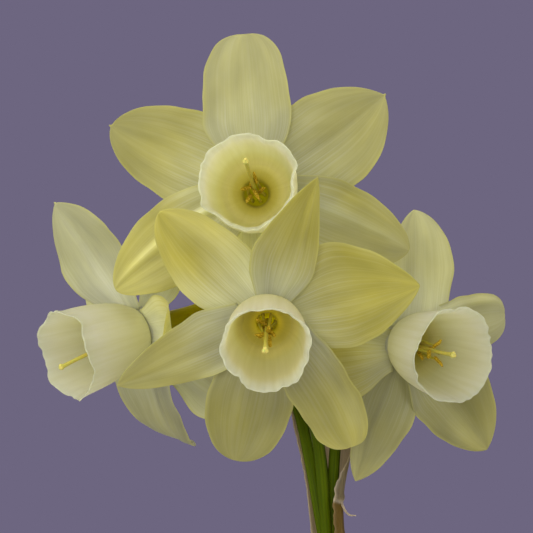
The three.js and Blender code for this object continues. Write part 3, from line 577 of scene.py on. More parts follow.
# %% Cup material
def cup_material():
    material, tree = new_material("fresh cup tissue, pleated")
    grain = add_node(tree, "ShaderNodeAttribute", {}, attribute_name="grain")
    shade = add_node(tree, "ShaderNodeAttribute", {}, attribute_name="shade")
    parts = add_node(tree, "ShaderNodeSeparateXYZ", {0: shade.outputs["Vector"]})
    # The throat's stops, up to 0.06, are lighter than its own olive green: painted light in its shade.
    inside = add_node(tree, "ShaderNodeValToRGB",
                      {0: parts},
                      stops=[(0.0, "#b2ac00"), (0.06, "#9c9200"), (0.085, "#b6a83f"),
                             (0.12, "#c6bb5e"), (0.16, "#d7ce7c"), (0.21, "#eae29a"),
                             (0.28, "#f5f0b0"), (0.38, "#f9f7c8"), (0.8, "#faf8d2"), (0.92, "#f9f8da"),
                             (1.0, "#f3f4da")])
    outside = add_node(tree, "ShaderNodeValToRGB", {0: parts},
                       stops=[(0.05, "#eae9ac"), (0.3, "#f5f4cc"), (0.85, "#fbfaea"), (1.0, "#f5f5dc")])
    ground = add_node(tree, "ShaderNodeMix",
                      {0: parts.outputs[1], 6: outside, 7: inside}, data_type="RGBA")
    # Pleats stand 1 to 1.5 mm apart round the cup and run down its whole wall.
    stretched = add_node(tree, "ShaderNodeVectorMath",
                         {0: grain.outputs["Vector"], 1: (0.9, 0.05, 1)}, operation="MULTIPLY")
    pleats = add_node(tree, "ShaderNodeTexNoise",
                      {"Vector": stretched, "Scale": 1.0, "Detail": 4.0, "Roughness": 0.6})
    lines = add_node(tree, "ShaderNodeMapRange", {0: pleats, 1: 0.35, 2: 0.7, 3: 0.0, 4: 0.35})
    pleated = add_node(tree, "ShaderNodeMix", {0: lines, 6: ground.outputs[2], 7: "#eceac8"},
                       data_type="RGBA", blend_type="MULTIPLY")
    light = add_node(tree, "ShaderNodeAttribute", {}, attribute_name="light")
    lights = add_node(tree, "ShaderNodeSeparateXYZ", {0: light.outputs["Vector"]})
    buttered = add_node(tree, "ShaderNodeMix", {0: lights, 6: pleated.outputs[2], 7: "#fff9d2"},
                        data_type="RGBA", blend_type="MULTIPLY")
    colour = add_node(tree, "ShaderNodeVectorMath",
                      {0: buttered.outputs[2], 3: parts.outputs[2]}, operation="SCALE")
    bump = add_node(tree, "ShaderNodeBump", {"Height": pleats, "Strength": 0.3, "Distance": 0.00015})
    gloss = add_node(tree, "ShaderNodeMapRange", {0: pleats, 3: 0.45, 4: 0.62})
    # The throat is matt and in shade, so it reflects far less than the wall of the cup.
    shine = add_node(tree, "ShaderNodeMapRange", {0: parts, 1: 0.08, 2: 0.3, 3: 0.04, 4: 0.3})
    surface = add_node(tree, "ShaderNodeBsdfPrincipled",
                       {"Base Color": colour, "Roughness": gloss, "IOR": 1.4,
                        "Specular IOR Level": shine, "Sheen Weight": 0.1, "Normal": bump})
    through = add_node(tree, "ShaderNodeBsdfTranslucent", {"Color": colour})
    # The wall is thin and clear at the rim, and thick and dense where it joins the flower tube.
    thin = add_node(tree, "ShaderNodeMapRange", {0: parts, 1: 0.1, 2: 0.35, 3: 0.15, 4: 0.74})
    both = add_node(tree, "ShaderNodeMixShader", {0: thin, 1: surface, 2: through})
    add_node(tree, "ShaderNodeOutputMaterial", {"Surface": both})
    return material


CUP_TISSUE = cup_material()
print("made", CUP_TISSUE.name)

# %% [markdown]
# The wall is turned from an outline of radius against depth. It narrows to 0.22 mm at the rim, and
# is then bent by waves that grow towards the rim. Every rim follows its own outline: how far it
# reaches (as a share of the mouth) at which degree clockwise from up. The small notches come from
# a sum of sines of many counts, so that they never repeat.

# %% Build the cups
CUP_SIDES = 180
WALL_ROWS = 60
THROAT_ROWS = 24


def evenly(points, count):
    """Points at even distances along a line of short steps, and its length."""
    run = np.concatenate([[0], np.cumsum(np.linalg.norm(np.diff(points, axis=0), axis=1))])
    even = np.linspace(0, run[-1], count)
    return np.stack([np.interp(even, run, column) for column in points.T], axis=1), run[-1]


def smooth_outline(knots, count):
    """A soft curve through the knots, by three rounds of corner cutting that keep both ends."""
    points = np.array(knots, float)
    for _ in range(3):
        cut = np.empty((2 * len(points) - 2, 2))
        cut[0::2] = lerp(points[:-1], points[1:], 0.25)
        cut[1::2] = lerp(points[:-1], points[1:], 0.75)
        points = np.concatenate([points[:1], cut, points[-1:]])
    return evenly(points, count)[0]


def open_loft(rings):
    """A loft whose first end is left open."""
    points, faces = loft(rings)
    return points, [face for face in faces if len(points) - 2 not in face]


def cup_part(flower, phase, seed):
    mouth, depth, belly = flower["mouth"], flower["depth"], flower.get("belly", 1)
    dice = np.random.default_rng(seed)
    # The outside from foot to rim, the inside a wall's thickness away from it, and the throat.
    low_wall = lerp(belly, 1, 0.35)
    high_wall = lerp(belly, 1, 0.8)
    outside = smooth_outline([
        (4.6, 0.4), (0.66 * mouth * belly, 0.04 * depth), (0.84 * mouth * belly, 0.17 * depth),
        (0.93 * mouth * low_wall, 0.4 * depth), (0.95 * mouth * high_wall, 0.7 * depth),
        (0.952 * mouth, 0.88 * depth), (0.985 * mouth, 0.965 * depth), (1.025 * mouth, depth),
    ], WALL_ROWS)
    wall = np.interp(outside[:, 1] / depth, [0, 0.3, 0.85, 1], [0.75, 0.6, 0.45, 0.22])
    slope = np.gradient(outside, axis=0)
    slope /= np.linalg.norm(slope, axis=1, keepdims=True)
    inside = outside + np.stack([-slope[:, 1], slope[:, 0]], 1) * wall[:, None]
    eye = flower.get("eye", 2.6)
    throat = smooth_outline([
        inside[0], (eye, 0.3), (0.93 * eye, -0.2), (0.8 * eye, -0.9), (0.5 * eye, -1.5), (0.05, -1.7),
    ], THROAT_ROWS)
    profile = np.concatenate([outside, inside[::-1], throat[1:]])
    rings = turned(profile, CUP_SIDES)
    angle = np.arctan2(rings[..., 0], rings[..., 1])
    # Six soft corners, and notches and flares of many counts close to the rim.
    share = np.clip(rings[..., 2] / depth, 0, 1.02) ** 3
    swell = 1 + 0.025 * share * np.sin(6 * angle + phase) + 0.012 * share * np.sin(11 * angle)
    up_wall = np.clip(rings[..., 2] / depth, 0, 1)
    late = up_wall ** 9
    notch = 0
    flare = 0
    for count in range(7, 34):
        a, b = dice.uniform(0, TAU, 2)
        notch = notch + np.sin(count * angle + a) / count ** 0.6
        flare = flare + np.sin(count * angle + b) / count ** 0.6
    pleats = 0.05 * np.sin(24 * angle + 2 * np.sin(5 * angle)) * up_wall
    swell = swell + (0.012 * late * flare + 0.1 * pleats)
    # Towards its top the wall follows the flower's own rim more and more.
    turns, reaches = np.array(flower["rim"]).T
    drawn = np.interp(np.degrees(angle) % 360, turns, reaches, period=360)
    swell = swell * lerp(1, drawn, up_wall ** flower["rim_power"])
    rings[..., 2] += 0.5 * share * np.sin(5 * angle + 2 * phase) + 0.14 * late * notch
    rings[..., :2] *= swell[..., None]
    # The height as a share: up the outside, down the inside and on into the throat.
    heights = np.concatenate([np.linspace(0.12, 1, WALL_ROWS), np.linspace(1, 0.12, WALL_ROWS),
                              np.linspace(0.115, 0, THROAT_ROWS - 1)])
    face_in = np.concatenate([np.zeros(WALL_ROWS - 2), [0.3, 0.6, 0.9],
                              np.ones(WALL_ROWS + THROAT_ROWS - 2)])
    depth_share = np.broadcast_to(heights[:, None], angle.shape)
    inner = np.broadcast_to(face_in[:, None], angle.shape)
    grain = stacked(np.sin(angle) * 9 + 20 * seed, rings[..., 2], np.cos(angle) * 9)
    # The level is partly the cup's own tone and partly painted light, most of all in the shaded throat.
    tone_and_painted_light = lerp(flower.get("throat", 1.0), flower["wall"], smoothstep(depth_share, 0.03, 0.11))
    tone_and_painted_light = tone_and_painted_light * lerp(flower.get("outer", 1), 1, inner)
    butter = flower.get("butter", 0) * inner * (1 - smoothstep(depth_share, 0.75, 1.0))
    layers = {"grain": with_caps(grain), "shade": with_caps(stacked(depth_share, inner, tone_and_painted_light)),
              "light": with_caps(stacked(butter, 0, 0))}
    # The foot stays open, because the flower tube and the collar stand in it.
    points, faces = open_loft(rings)
    return settled(flower, points), faces, layers, 0


RIMS = {
    "centre": [
        (0, 0.88), (14, 0.9), (36, 0.96), (54, 1.0), (74, 1.01), (95, 0.98), (117, 0.98), (136, 1.0),
        (155, 1.0), (180, 1.015), (200, 1.0), (213, 0.965), (223, 0.91), (235, 0.94), (258, 0.98),
        (280, 0.99), (300, 0.99), (325, 0.95), (345, 0.89),
    ],
    "top": [
        (17, 0.89), (36, 0.97), (47, 0.98), (61, 0.99), (73, 1.02), (80, 0.95), (90, 0.9),
        (102, 0.925), (127, 0.9), (151, 0.945), (177, 0.97), (201, 0.95), (225, 0.925), (241, 0.985),
        (259, 0.97), (277, 0.96), (299, 0.94), (317, 0.94), (339, 0.93), (357, 0.9),
    ],
    "left": [
        (12, 0.94), (41, 0.98), (59, 0.9), (72, 0.94), (97, 0.92), (123, 0.97), (153, 0.98),
        (180, 0.97), (200, 0.965), (217, 0.925), (234, 0.95), (262, 0.98), (280, 0.97), (303, 0.94),
        (339, 0.9),
    ],
    "right": [
        (18, 1.06), (40, 1.05), (74, 0.95), (115, 0.95), (138, 0.96), (162, 1.01), (184, 0.95),
        (212, 0.96), (235, 1.02), (262, 1.04), (280, 0.96), (302, 0.92), (336, 1.05), (358, 1.05),
    ],
}
for number, (name, flower) in enumerate(FLOWERS.items()):
    flower["rim"] = RIMS[name]
    made = cup_part(flower, 1.7 * number, 50 + number)
    piece(f"cup_{name}_fine", [made], [CUP_TISSUE], "cup", f"cup_{name}")

# %% [markdown]
# ## Stamens and style
# Six stamens stand in the throat: thin pale filaments, each with an anther covered in orange
# pollen. Pollen is a powder, so its surface is rough and without gloss. The style between them is
# a waxy yellow-green stalk, and its stigma has three pale lobes.

# %% Pollen, filament and style materials
def powder_material():
    material, tree = new_material("dry orange pollen")
    place = add_node(tree, "ShaderNodeTexCoord", {})
    # Pollen grains of 0.05 mm are too fine to show, so clumps of about 0.25 mm are drawn.
    clumps = add_node(tree, "ShaderNodeTexNoise",
                      {"Vector": place.outputs["Object"], "Scale": 4000.0, "Detail": 3.0})
    colour = add_node(tree, "ShaderNodeValToRGB",
                      {0: clumps}, stops=[(0.32, "#725c0a"), (0.5, "#ab8c1a"), (0.68, "#d4b644")])
    bump = add_node(tree, "ShaderNodeBump", {"Height": clumps, "Strength": 0.8, "Distance": 0.0002})
    surface = add_node(tree, "ShaderNodeBsdfPrincipled",
                       {"Base Color": colour, "Roughness": 0.9, "IOR": 1.45,
                        "Specular IOR Level": 0.06, "Normal": bump})
    add_node(tree, "ShaderNodeOutputMaterial", {"Surface": surface})
    return material


def style_material():
    material, tree = new_material("waxy style and filament tissue")
    shade = add_node(tree, "ShaderNodeAttribute", {}, attribute_name="shade")
    parts = add_node(tree, "ShaderNodeSeparateXYZ", {0: shade.outputs["Vector"]})
    colour = add_node(tree, "ShaderNodeValToRGB",
                      {0: parts}, stops=[(0.0, "#a59d34"), (0.5, "#bbb04a"), (1.0, "#c8be60")])
    place = add_node(tree, "ShaderNodeTexCoord", {})
    # Cells about 0.4 mm long break the gloss. A little light goes round inside the moist tissue.
    cells = add_node(tree, "ShaderNodeTexNoise", {"Vector": place.outputs["Object"], "Scale": 2500.0})
    bump = add_node(tree, "ShaderNodeBump", {"Height": cells, "Strength": 0.3, "Distance": 0.00008})
    gloss = add_node(tree, "ShaderNodeMapRange", {0: cells, 3: 0.5, 4: 0.7})
    surface = add_node(tree, "ShaderNodeBsdfPrincipled",
                       {"Base Color": colour, "Roughness": gloss, "IOR": 1.38,
                        "Specular IOR Level": 0.2, "Subsurface Weight": 0.2,
                        "Subsurface Scale": 0.0006, "Normal": bump})
    add_node(tree, "ShaderNodeOutputMaterial", {"Surface": surface})
    return material


POLLEN = powder_material()
STYLE_TISSUE = style_material()
print("made", POLLEN.name, "and", STYLE_TISSUE.name)

# %% [markdown]
# A stalk needs a smooth route. The curve here is the centripetal Catmull-Rom curve, which passes
# through its points without loops, and is the one that the CAD model uses too. The rings are
# carried along it without twisting.

# %% Routes and stalks
def route(knots, count):
    """Evenly spaced points on the curve through the knots, and its length."""
    p = np.array(knots, float)
    p = np.concatenate([[2 * p[0] - p[1]], p, [2 * p[-1] - p[-2]]])
    pieces = []
    for i in range(len(p) - 3):
        x0, x1, x2, x3 = p[i:i + 4]
        pairs = ((x0, x1), (x1, x2), (x2, x3))
        d0, d1, d2 = (max(1e-4, np.linalg.norm(b - a) ** 0.5) for a, b in pairs)
        t1 = ((x1 - x0) / d0 - (x2 - x0) / (d0 + d1) + (x2 - x1) / d1) * d1
        t2 = ((x2 - x1) / d1 - (x3 - x1) / (d1 + d2) + (x3 - x2) / d2) * d1
        t = np.linspace(0, 1, 60, endpoint=False)[:, None]
        square = 3 * (x2 - x1) - 2 * t1 - t2
        cube = 2 * (x1 - x2) + t1 + t2
        pieces.append(x1 + t1 * t + square * t ** 2 + cube * t ** 3)
    return evenly(np.concatenate([*pieces, [p[-2]]]), count)


def tube_rings(path, radii, sides):
    """Rings round a path. radii is [count] or [count, sides]."""
    tangent = np.gradient(path, axis=0)
    tangent /= np.linalg.norm(tangent, axis=1, keepdims=True)
    first = np.cross(tangent[0], [0.31, 0.87, 0.38])
    across = [first / np.linalg.norm(first)]
    for direction in tangent[1:]:
        carried = across[-1] - direction * np.dot(across[-1], direction)
        across.append(carried / np.linalg.norm(carried))
    across = np.array(across)
    other = np.cross(tangent, across)
    angle = ring_angles(sides)
    radii = np.asarray(radii, float)
    radii = radii[:, None] if radii.ndim == 1 else radii
    c, s = np.cos(angle)[None, :, None], np.sin(angle)[None, :, None]
    ring = c * across[:, None] + s * other[:, None]
    return path[:, None] + ring * radii[..., None]


print("test route length in mm:", round(route([(0, 0, 0), (0, 10, 5), (0, 20, 0)], 9)[1], 2))

# %% [markdown]
# An anther is two joined pollen sacs with a groove between them. As it dries it curves outwards and
# its ends hook over. The style ends in three lobes that spread from one point.

# %% Build the stamens and styles
FILAMENT_POINTS = 16
FILAMENT_SIDES = 10
ANTHER_POINTS = 22
ANTHER_SIDES = 16
STYLE_POINTS = 40
STYLE_SIDES = 14
LOBE_POINTS = 10
LOBE_SIDES = 12


def away(angle):
    """The direction out of the cup's middle, at an angle clockwise from up."""
    return np.array([math.sin(angle), math.cos(angle), 0])


def even_tone(shares, sides):
    """The same tone all round a stalk, changing along it."""
    return with_caps(np.repeat(shares[:, None, None], sides, axis=1) * np.ones(3))


def filament(flower, outward, joint):
    foot = outward * 1.6 - UP * 3
    knots = [foot, outward * 1.5 + UP * 0.5, lerp(foot, joint, 0.75), joint]
    path, _ = route(knots, FILAMENT_POINTS)
    radii = np.interp(np.linspace(0, 1, FILAMENT_POINTS), [0, 0.8, 1], [0.34, 0.28, 0.16])
    points, faces = loft(tube_rings(path, radii, FILAMENT_SIDES))
    tone = even_tone(np.full(FILAMENT_POINTS, 0.25), FILAMENT_SIDES)
    return settled(flower, points), faces, {"shade": tone}, 1


def anther(flower, outward, joint, dice):
    """A curved capsule in two lobes. Its points are shifted at random, like clumps of pollen."""
    tilt = math.radians(dice.uniform(*flower["tilt"]))
    swing = dice.uniform(-0.9, 0.9)
    way = outward * math.cos(swing) + np.cross(UP, outward) * math.sin(swing)
    ahead = UP * math.cos(tilt) + way * math.sin(tilt)
    bent = way * math.cos(tilt) - UP * math.sin(tilt)
    hook = dice.uniform(0.25, 0.6)
    low = joint - ahead * 0.9
    knots = [low - bent * 0.1, low + ahead * 1.0 + bent * 0.12, low + ahead * 1.9 + bent * 0.02,
             low + ahead * 2.8 + bent * hook]
    path, _ = route(knots, ANTHER_POINTS)
    share = np.linspace(0, 1, ANTHER_POINTS)
    angle = ring_angles(ANTHER_SIDES)
    plump = 0.4 * np.sqrt(np.clip(1 - np.abs(2 * share - 1) ** 3.5, 0.02, 1)) * lerp(1, 0.8, share)
    lobes = 1 + 0.16 * np.cos(2 * angle) - 0.1 * np.cos(4 * angle)
    grains = 1 + 0.09 * dice.standard_normal((ANTHER_POINTS, ANTHER_SIDES))
    points, faces = loft(tube_rings(path, plump[:, None] * lobes[None] * grains, ANTHER_SIDES))
    return settled(flower, points), faces, {"shade": np.zeros((len(points), 3))}, 0


def stamen_parts(flower, number):
    phase = 1.7 * number
    bend = 0.12 * math.hypot(*flower["style_bend"])
    dice = np.random.default_rng(90 + number)
    parts = []
    for k in range(6):
        outward = away(TAU * (k + 0.5) / 6)
        # Three stamens are long and three are short, in turn.
        height = 9.5 if k % 2 == 0 else 5.5
        height += 0.8 * math.sin(2.3 * k + phase) + flower.get("reach", 0)
        spread = flower["spread"] + 0.3 * math.sin(4.1 * k + phase) + bend
        joint = outward * spread + UP * (height + 0.7)
        parts.append(filament(flower, outward, joint))
        parts.append(anther(flower, outward, joint, dice))
    return parts


def style_parts(flower):
    bend = np.array([*flower["style_bend"], 0])
    s = np.array([0, 0.3, 0.55, 0.8, 1])[:, None]
    path, _ = route(bend * s ** 2 + UP * lerp(-8.1, 19.6 + flower.get("style", 0), s), STYLE_POINTS)
    share = np.linspace(0, 1, STYLE_POINTS)
    radii = np.interp(share, [0, 0.9, 0.97, 1], [0.46, 0.38, 0.42, 0.5])
    points, faces = loft(tube_rings(path, radii, STYLE_SIDES))
    tone = even_tone(lerp(0.3, 0.7, share), STYLE_SIDES)
    parts = [(settled(flower, points), faces, {"shade": tone}, 0)]
    tip = path[-1]
    along = np.linspace(0, 1, LOBE_POINTS)
    radii = 0.46 * np.sqrt(np.clip(1 - (along * 0.98) ** 5, 0.03, 1))
    tone = even_tone(lerp(0.6, 1.0, along), LOBE_SIDES)
    for k in range(3):
        outward = away(TAU * k / 3)
        knots = [tip - UP * 0.3, tip + outward * 0.25 + UP * 0.05, tip + outward * 0.55 + UP * 0.35]
        lobe, _ = route(knots, LOBE_POINTS)
        points, faces = loft(tube_rings(lobe, radii, LOBE_SIDES))
        parts.append((settled(flower, points), faces, {"shade": tone}, 0))
    return parts


for number, (name, flower) in enumerate(FLOWERS.items()):
    piece(f"stamens_{name}_fine", stamen_parts(flower, number), [POLLEN, STYLE_TISSUE], "pollen",
          f"stamens_{name}")
    piece(f"pistil_{name}_fine", style_parts(flower), [STYLE_TISSUE], "style", f"pistil_{name}")

# %% [markdown]
# ## Stem and flower stalks
# The stem is a smooth green tube with fine lengthwise ridges and a faint waxy shine. It forks at
# the top into four thin stalks. Each stalk swells to an ovary behind its flower and goes on as the
# flower tube, which turns from green to pale yellow where it meets the petals.

# %% Stem material
def stem_material():
    material, tree = new_material("waxy green stem skin")
    grain = add_node(tree, "ShaderNodeAttribute", {}, attribute_name="grain")
    shade = add_node(tree, "ShaderNodeAttribute", {}, attribute_name="shade")
    parts = add_node(tree, "ShaderNodeSeparateXYZ", {0: shade.outputs["Vector"]})
    # Ridges are 0.5 to 0.8 mm apart round the stem.
    stretched = add_node(tree, "ShaderNodeVectorMath",
                         {0: grain.outputs["Vector"], 1: (1.8, 0.03, 1.8)}, operation="MULTIPLY")
    ridges = add_node(tree, "ShaderNodeTexNoise",
                      {"Vector": stretched, "Scale": 1.0, "Detail": 3.0, "Roughness": 0.6})
    green = add_node(tree, "ShaderNodeValToRGB",
                     {0: ridges}, stops=[(0.3, "#2d3c00"), (0.72, "#4b5900")])
    # Below the umbel the skin is a fresher, bluer green, like the leaves: partly its colour, partly painted
    # light out of the umbel's shade.
    fresh = add_node(tree, "ShaderNodeValToRGB",
                     {0: ridges}, stops=[(0.3, "#3c5626"), (0.72, "#587438")])
    skin = add_node(tree, "ShaderNodeMix", {0: parts.outputs[2], 6: green, 7: fresh}, data_type="RGBA")
    pale = add_node(tree, "ShaderNodeMix",
                    {0: parts, 6: skin.outputs[2], 7: "#dcd894"}, data_type="RGBA")
    # Olive: the stalks' own colour, and on the left stalk also painted light.
    olive = add_node(tree, "ShaderNodeMix",
                     {0: parts.outputs[1], 6: pale.outputs[2], 7: "#9c9100"}, data_type="RGBA")
    bump = add_node(tree, "ShaderNodeBump", {"Height": ridges, "Strength": 0.4, "Distance": 0.0002})
    gloss = add_node(tree, "ShaderNodeMapRange", {0: ridges, 3: 0.5, 4: 0.7})
    surface = add_node(tree, "ShaderNodeBsdfPrincipled",
                       {"Base Color": olive.outputs[2], "Roughness": gloss, "IOR": 1.43,
                        "Specular IOR Level": 0.06, "Subsurface Weight": 0.1,
                        "Subsurface Scale": 0.001, "Normal": bump})
    add_node(tree, "ShaderNodeOutputMaterial", {"Surface": surface})
    return material


STEM_SKIN = stem_material()
print("made", STEM_SKIN.name)

# %% [markdown]
# The stem is slightly oval, with thirteen low ribs. A stalk's radius is given for its distance from
# the flower in millimetres: the flower tube, the ovary about 18 mm down, which has three soft
# corners, and the thin stalk itself. The stem is pale at its foot, where the sheaths shade it.

# %% Build the stem
STEM_PATH = [(0, 0, 96.3), (-1.4, 0.8, 190), (1, -0.6, 300), (5.8, 0.1, 403)]
STEM_RADIUS = 2.8
STEM_POINTS = 150
STEM_SIDES = 40
STALK_POINTS = 130
STALK_SIDES = 28
OVARY_AT = 18
TUBE_STATIONS = [(0, 3.5), (3, 2.5), (7, 2.1), (13, 1.95), (15.5, 2.45), (18, 2.6), (20.5, 2.2),
                 (22.5, 1.4), (26, 1.15)]


def round_grain(angle, far, radius):
    """The grain of a stalk lies round a circle, so that its ridges close without a seam."""
    return with_caps(stacked(np.cos(angle) * radius, far, np.sin(angle) * radius))


def stem_parts():
    path, _ = route(STEM_PATH, STEM_POINTS)
    angle = ring_angles(STEM_SIDES)
    ridged = STEM_RADIUS * (1 + 0.025 * np.cos(2 * angle) + 0.012 * np.cos(13 * angle))
    close = np.ones(STEM_POINTS)
    close[-4:] = [0.995, 0.96, 0.8, 0.3]
    rings = tube_rings(path, close[:, None] * ridged[None], STEM_SIDES)
    z = np.broadcast_to(path[:, 2][:, None], rings.shape[:2])
    # Pale up to 150 mm, inside the sheaths, then fresh green, which turns olive from 320 mm on.
    foot_pale = 0.75 * (1 - smoothstep(z, 118, 150))
    fresh = 1 - smoothstep(z, 320, 395)
    layers = {"grain": round_grain(angle, z, STEM_RADIUS), "shade": with_caps(stacked(foot_pale, 0, fresh))}
    parts = [(*loft(rings), layers, 0)]
    stations = smooth_outline(TUBE_STATIONS, 80)
    angle = ring_angles(STALK_SIDES)
    umbel = np.array(STEM_PATH[-1]) - [0, 0, 3]
    for number, (name, flower) in enumerate(FLOWERS.items()):
        on_axis = placed(flower, [(0, 0, z) for z in (-2.2, -7.2, -14.2, -22.2)])
        path, length = route([*on_axis, *flower["stalk"], umbel], STALK_POINTS)
        run = np.linspace(0, length, STALK_POINTS)
        radii = np.interp(run, stations[:, 0], stations[:, 1])
        three = 1 + 0.07 * np.exp(-(((run - OVARY_AT) / 4) ** 2))[:, None] * np.cos(3 * angle)[None]
        rings = tube_rings(path, radii[:, None] * three, STALK_SIDES)
        far = np.broadcast_to(run[:, None], rings.shape[:2])
        paleness = 0.85 * (1 - smoothstep(far, 1, 7))
        # The left stalk's bright olive is partly its colour and partly painted light in the flowers' shade.
        olive = (1 - smoothstep(far, 28, 44)) * (0.95 if name == "left" else 0.1)
        grain = round_grain(angle, far, 2)
        grain[:, 1] += 50 * number
        layers = {"grain": grain, "shade": with_caps(stacked(paleness, olive, 0))}
        # The end in the throat stays open, because the cup's own floor closes it.
        parts.append((*open_loft(rings), layers, 0))
        print(name, "stalk is", round(length, 1), "mm long")
    return parts


piece("stem_fine", stem_parts(), [STEM_SKIN], "stem", "stem")

# %% [markdown]
# ## Spathe
# The spathe is the bract that wrapped the buds. By flowering time it is dead, dry and thin as
# tissue paper, tan with darker veins, and light shines through it. It still hugs the top of the
# stem, torn open at the front, and its edges curl.

# %% Spathe material
def paper_material(name, dark, light, glow, through_share, vein_scale):
    material, tree = new_material(name)
    grain = add_node(tree, "ShaderNodeAttribute", {}, attribute_name="grain")
    shade = add_node(tree, "ShaderNodeAttribute", {}, attribute_name="shade")
    parts = add_node(tree, "ShaderNodeSeparateXYZ", {0: shade.outputs["Vector"]})
    # Veins about 0.6 to 1 mm apart, as old leaf tissue dries in between them.
    stretched = add_node(tree, "ShaderNodeVectorMath",
                         {0: grain.outputs["Vector"], 1: (vein_scale, 0.06, vein_scale)},
                         operation="MULTIPLY")
    veins = add_node(tree, "ShaderNodeTexNoise",
                     {"Vector": stretched, "Scale": 1.0, "Detail": 5.0, "Roughness": 0.65})
    dry = add_node(tree, "ShaderNodeValToRGB", {0: veins}, stops=[(0.32, dark), (0.7, light)])
    browned = add_node(tree, "ShaderNodeMix", {0: parts, 6: dry, 7: "#86680c"}, data_type="RGBA")
    # The second share is pale tan: a painted highlight on curled free edges, and the pale torn line and
    # strip.
    colour = add_node(tree, "ShaderNodeMix",
                      {0: parts.outputs[1], 6: browned.outputs[2], 7: "#ddd2ba"}, data_type="RGBA")
    crumple = add_node(tree, "ShaderNodeTexNoise", {"Vector": grain.outputs["Vector"], "Scale": 0.5})
    height = add_node(tree, "ShaderNodeMath", {0: veins, 1: crumple}, operation="ADD")
    bump = add_node(tree, "ShaderNodeBump", {"Height": height, "Strength": 0.6, "Distance": 0.0003})
    gloss = add_node(tree, "ShaderNodeMapRange", {0: crumple, 3: 0.55, 4: 0.85})
    surface = add_node(tree, "ShaderNodeBsdfPrincipled",
                       {"Base Color": colour.outputs[2], "Roughness": gloss, "IOR": 1.45,
                        "Specular IOR Level": 0.25, "Normal": bump})
    shining = add_node(tree, "ShaderNodeMix",
                       {0: 0.5, 6: glow, 7: colour.outputs[2]}, data_type="RGBA", blend_type="MULTIPLY")
    through = add_node(tree, "ShaderNodeBsdfTranslucent", {"Color": shining.outputs[2]})
    both = add_node(tree, "ShaderNodeMixShader", {0: through_share, 1: surface, 2: through})
    add_node(tree, "ShaderNodeOutputMaterial", {"Surface": both})
    return material


BRACT_PAPER = paper_material("dry bract paper", "#8a7b56", "#baac86", "#efe6cf", 0.72, 1.6)
print("made", BRACT_PAPER.name)

# %% [markdown]
# Its form is given by two lists. The first has the X of its left and of its right side at each
# height, all in millimetres. The second says where its right edge ends round the stem, in degrees
# from the back: low down it goes nearly all the way round, and above 417 mm it opens. Below the
# line where it is torn the paper is brown, and one thin curled strip hangs off there.

# %% Build the spathe
SPATHE_LOW = 399
SPATHE_HIGH = 441
TORN_AT = 413
SPATHE_ROWS = 140
SPATHE_COLUMNS = 60
STRIP = [(8.2, -0.9, 413), (9.1, -1.3, 411.1), (9.9, -1.5, 410.4), (11.2, -1.6, 410.3)]
STRIP_POINTS = 24
SPATHE_SIDES = [(399, 2.8, 9.3), (404, 2.8, 9.25), (407.5, 2.55, 8.6), (413, 1.8, 8.5), (417, 1.3, 9.0),
                (422, 0.45, 10.1), (430, -1.4, 10.6), (441, -1.9, 10.2)]
SPATHE_EDGE = [(399, 160), (413, 160), (416.7, 152), (419.5, 136), (421.5, 116), (423.5, 88), (430, 84),
               (441, 8)]


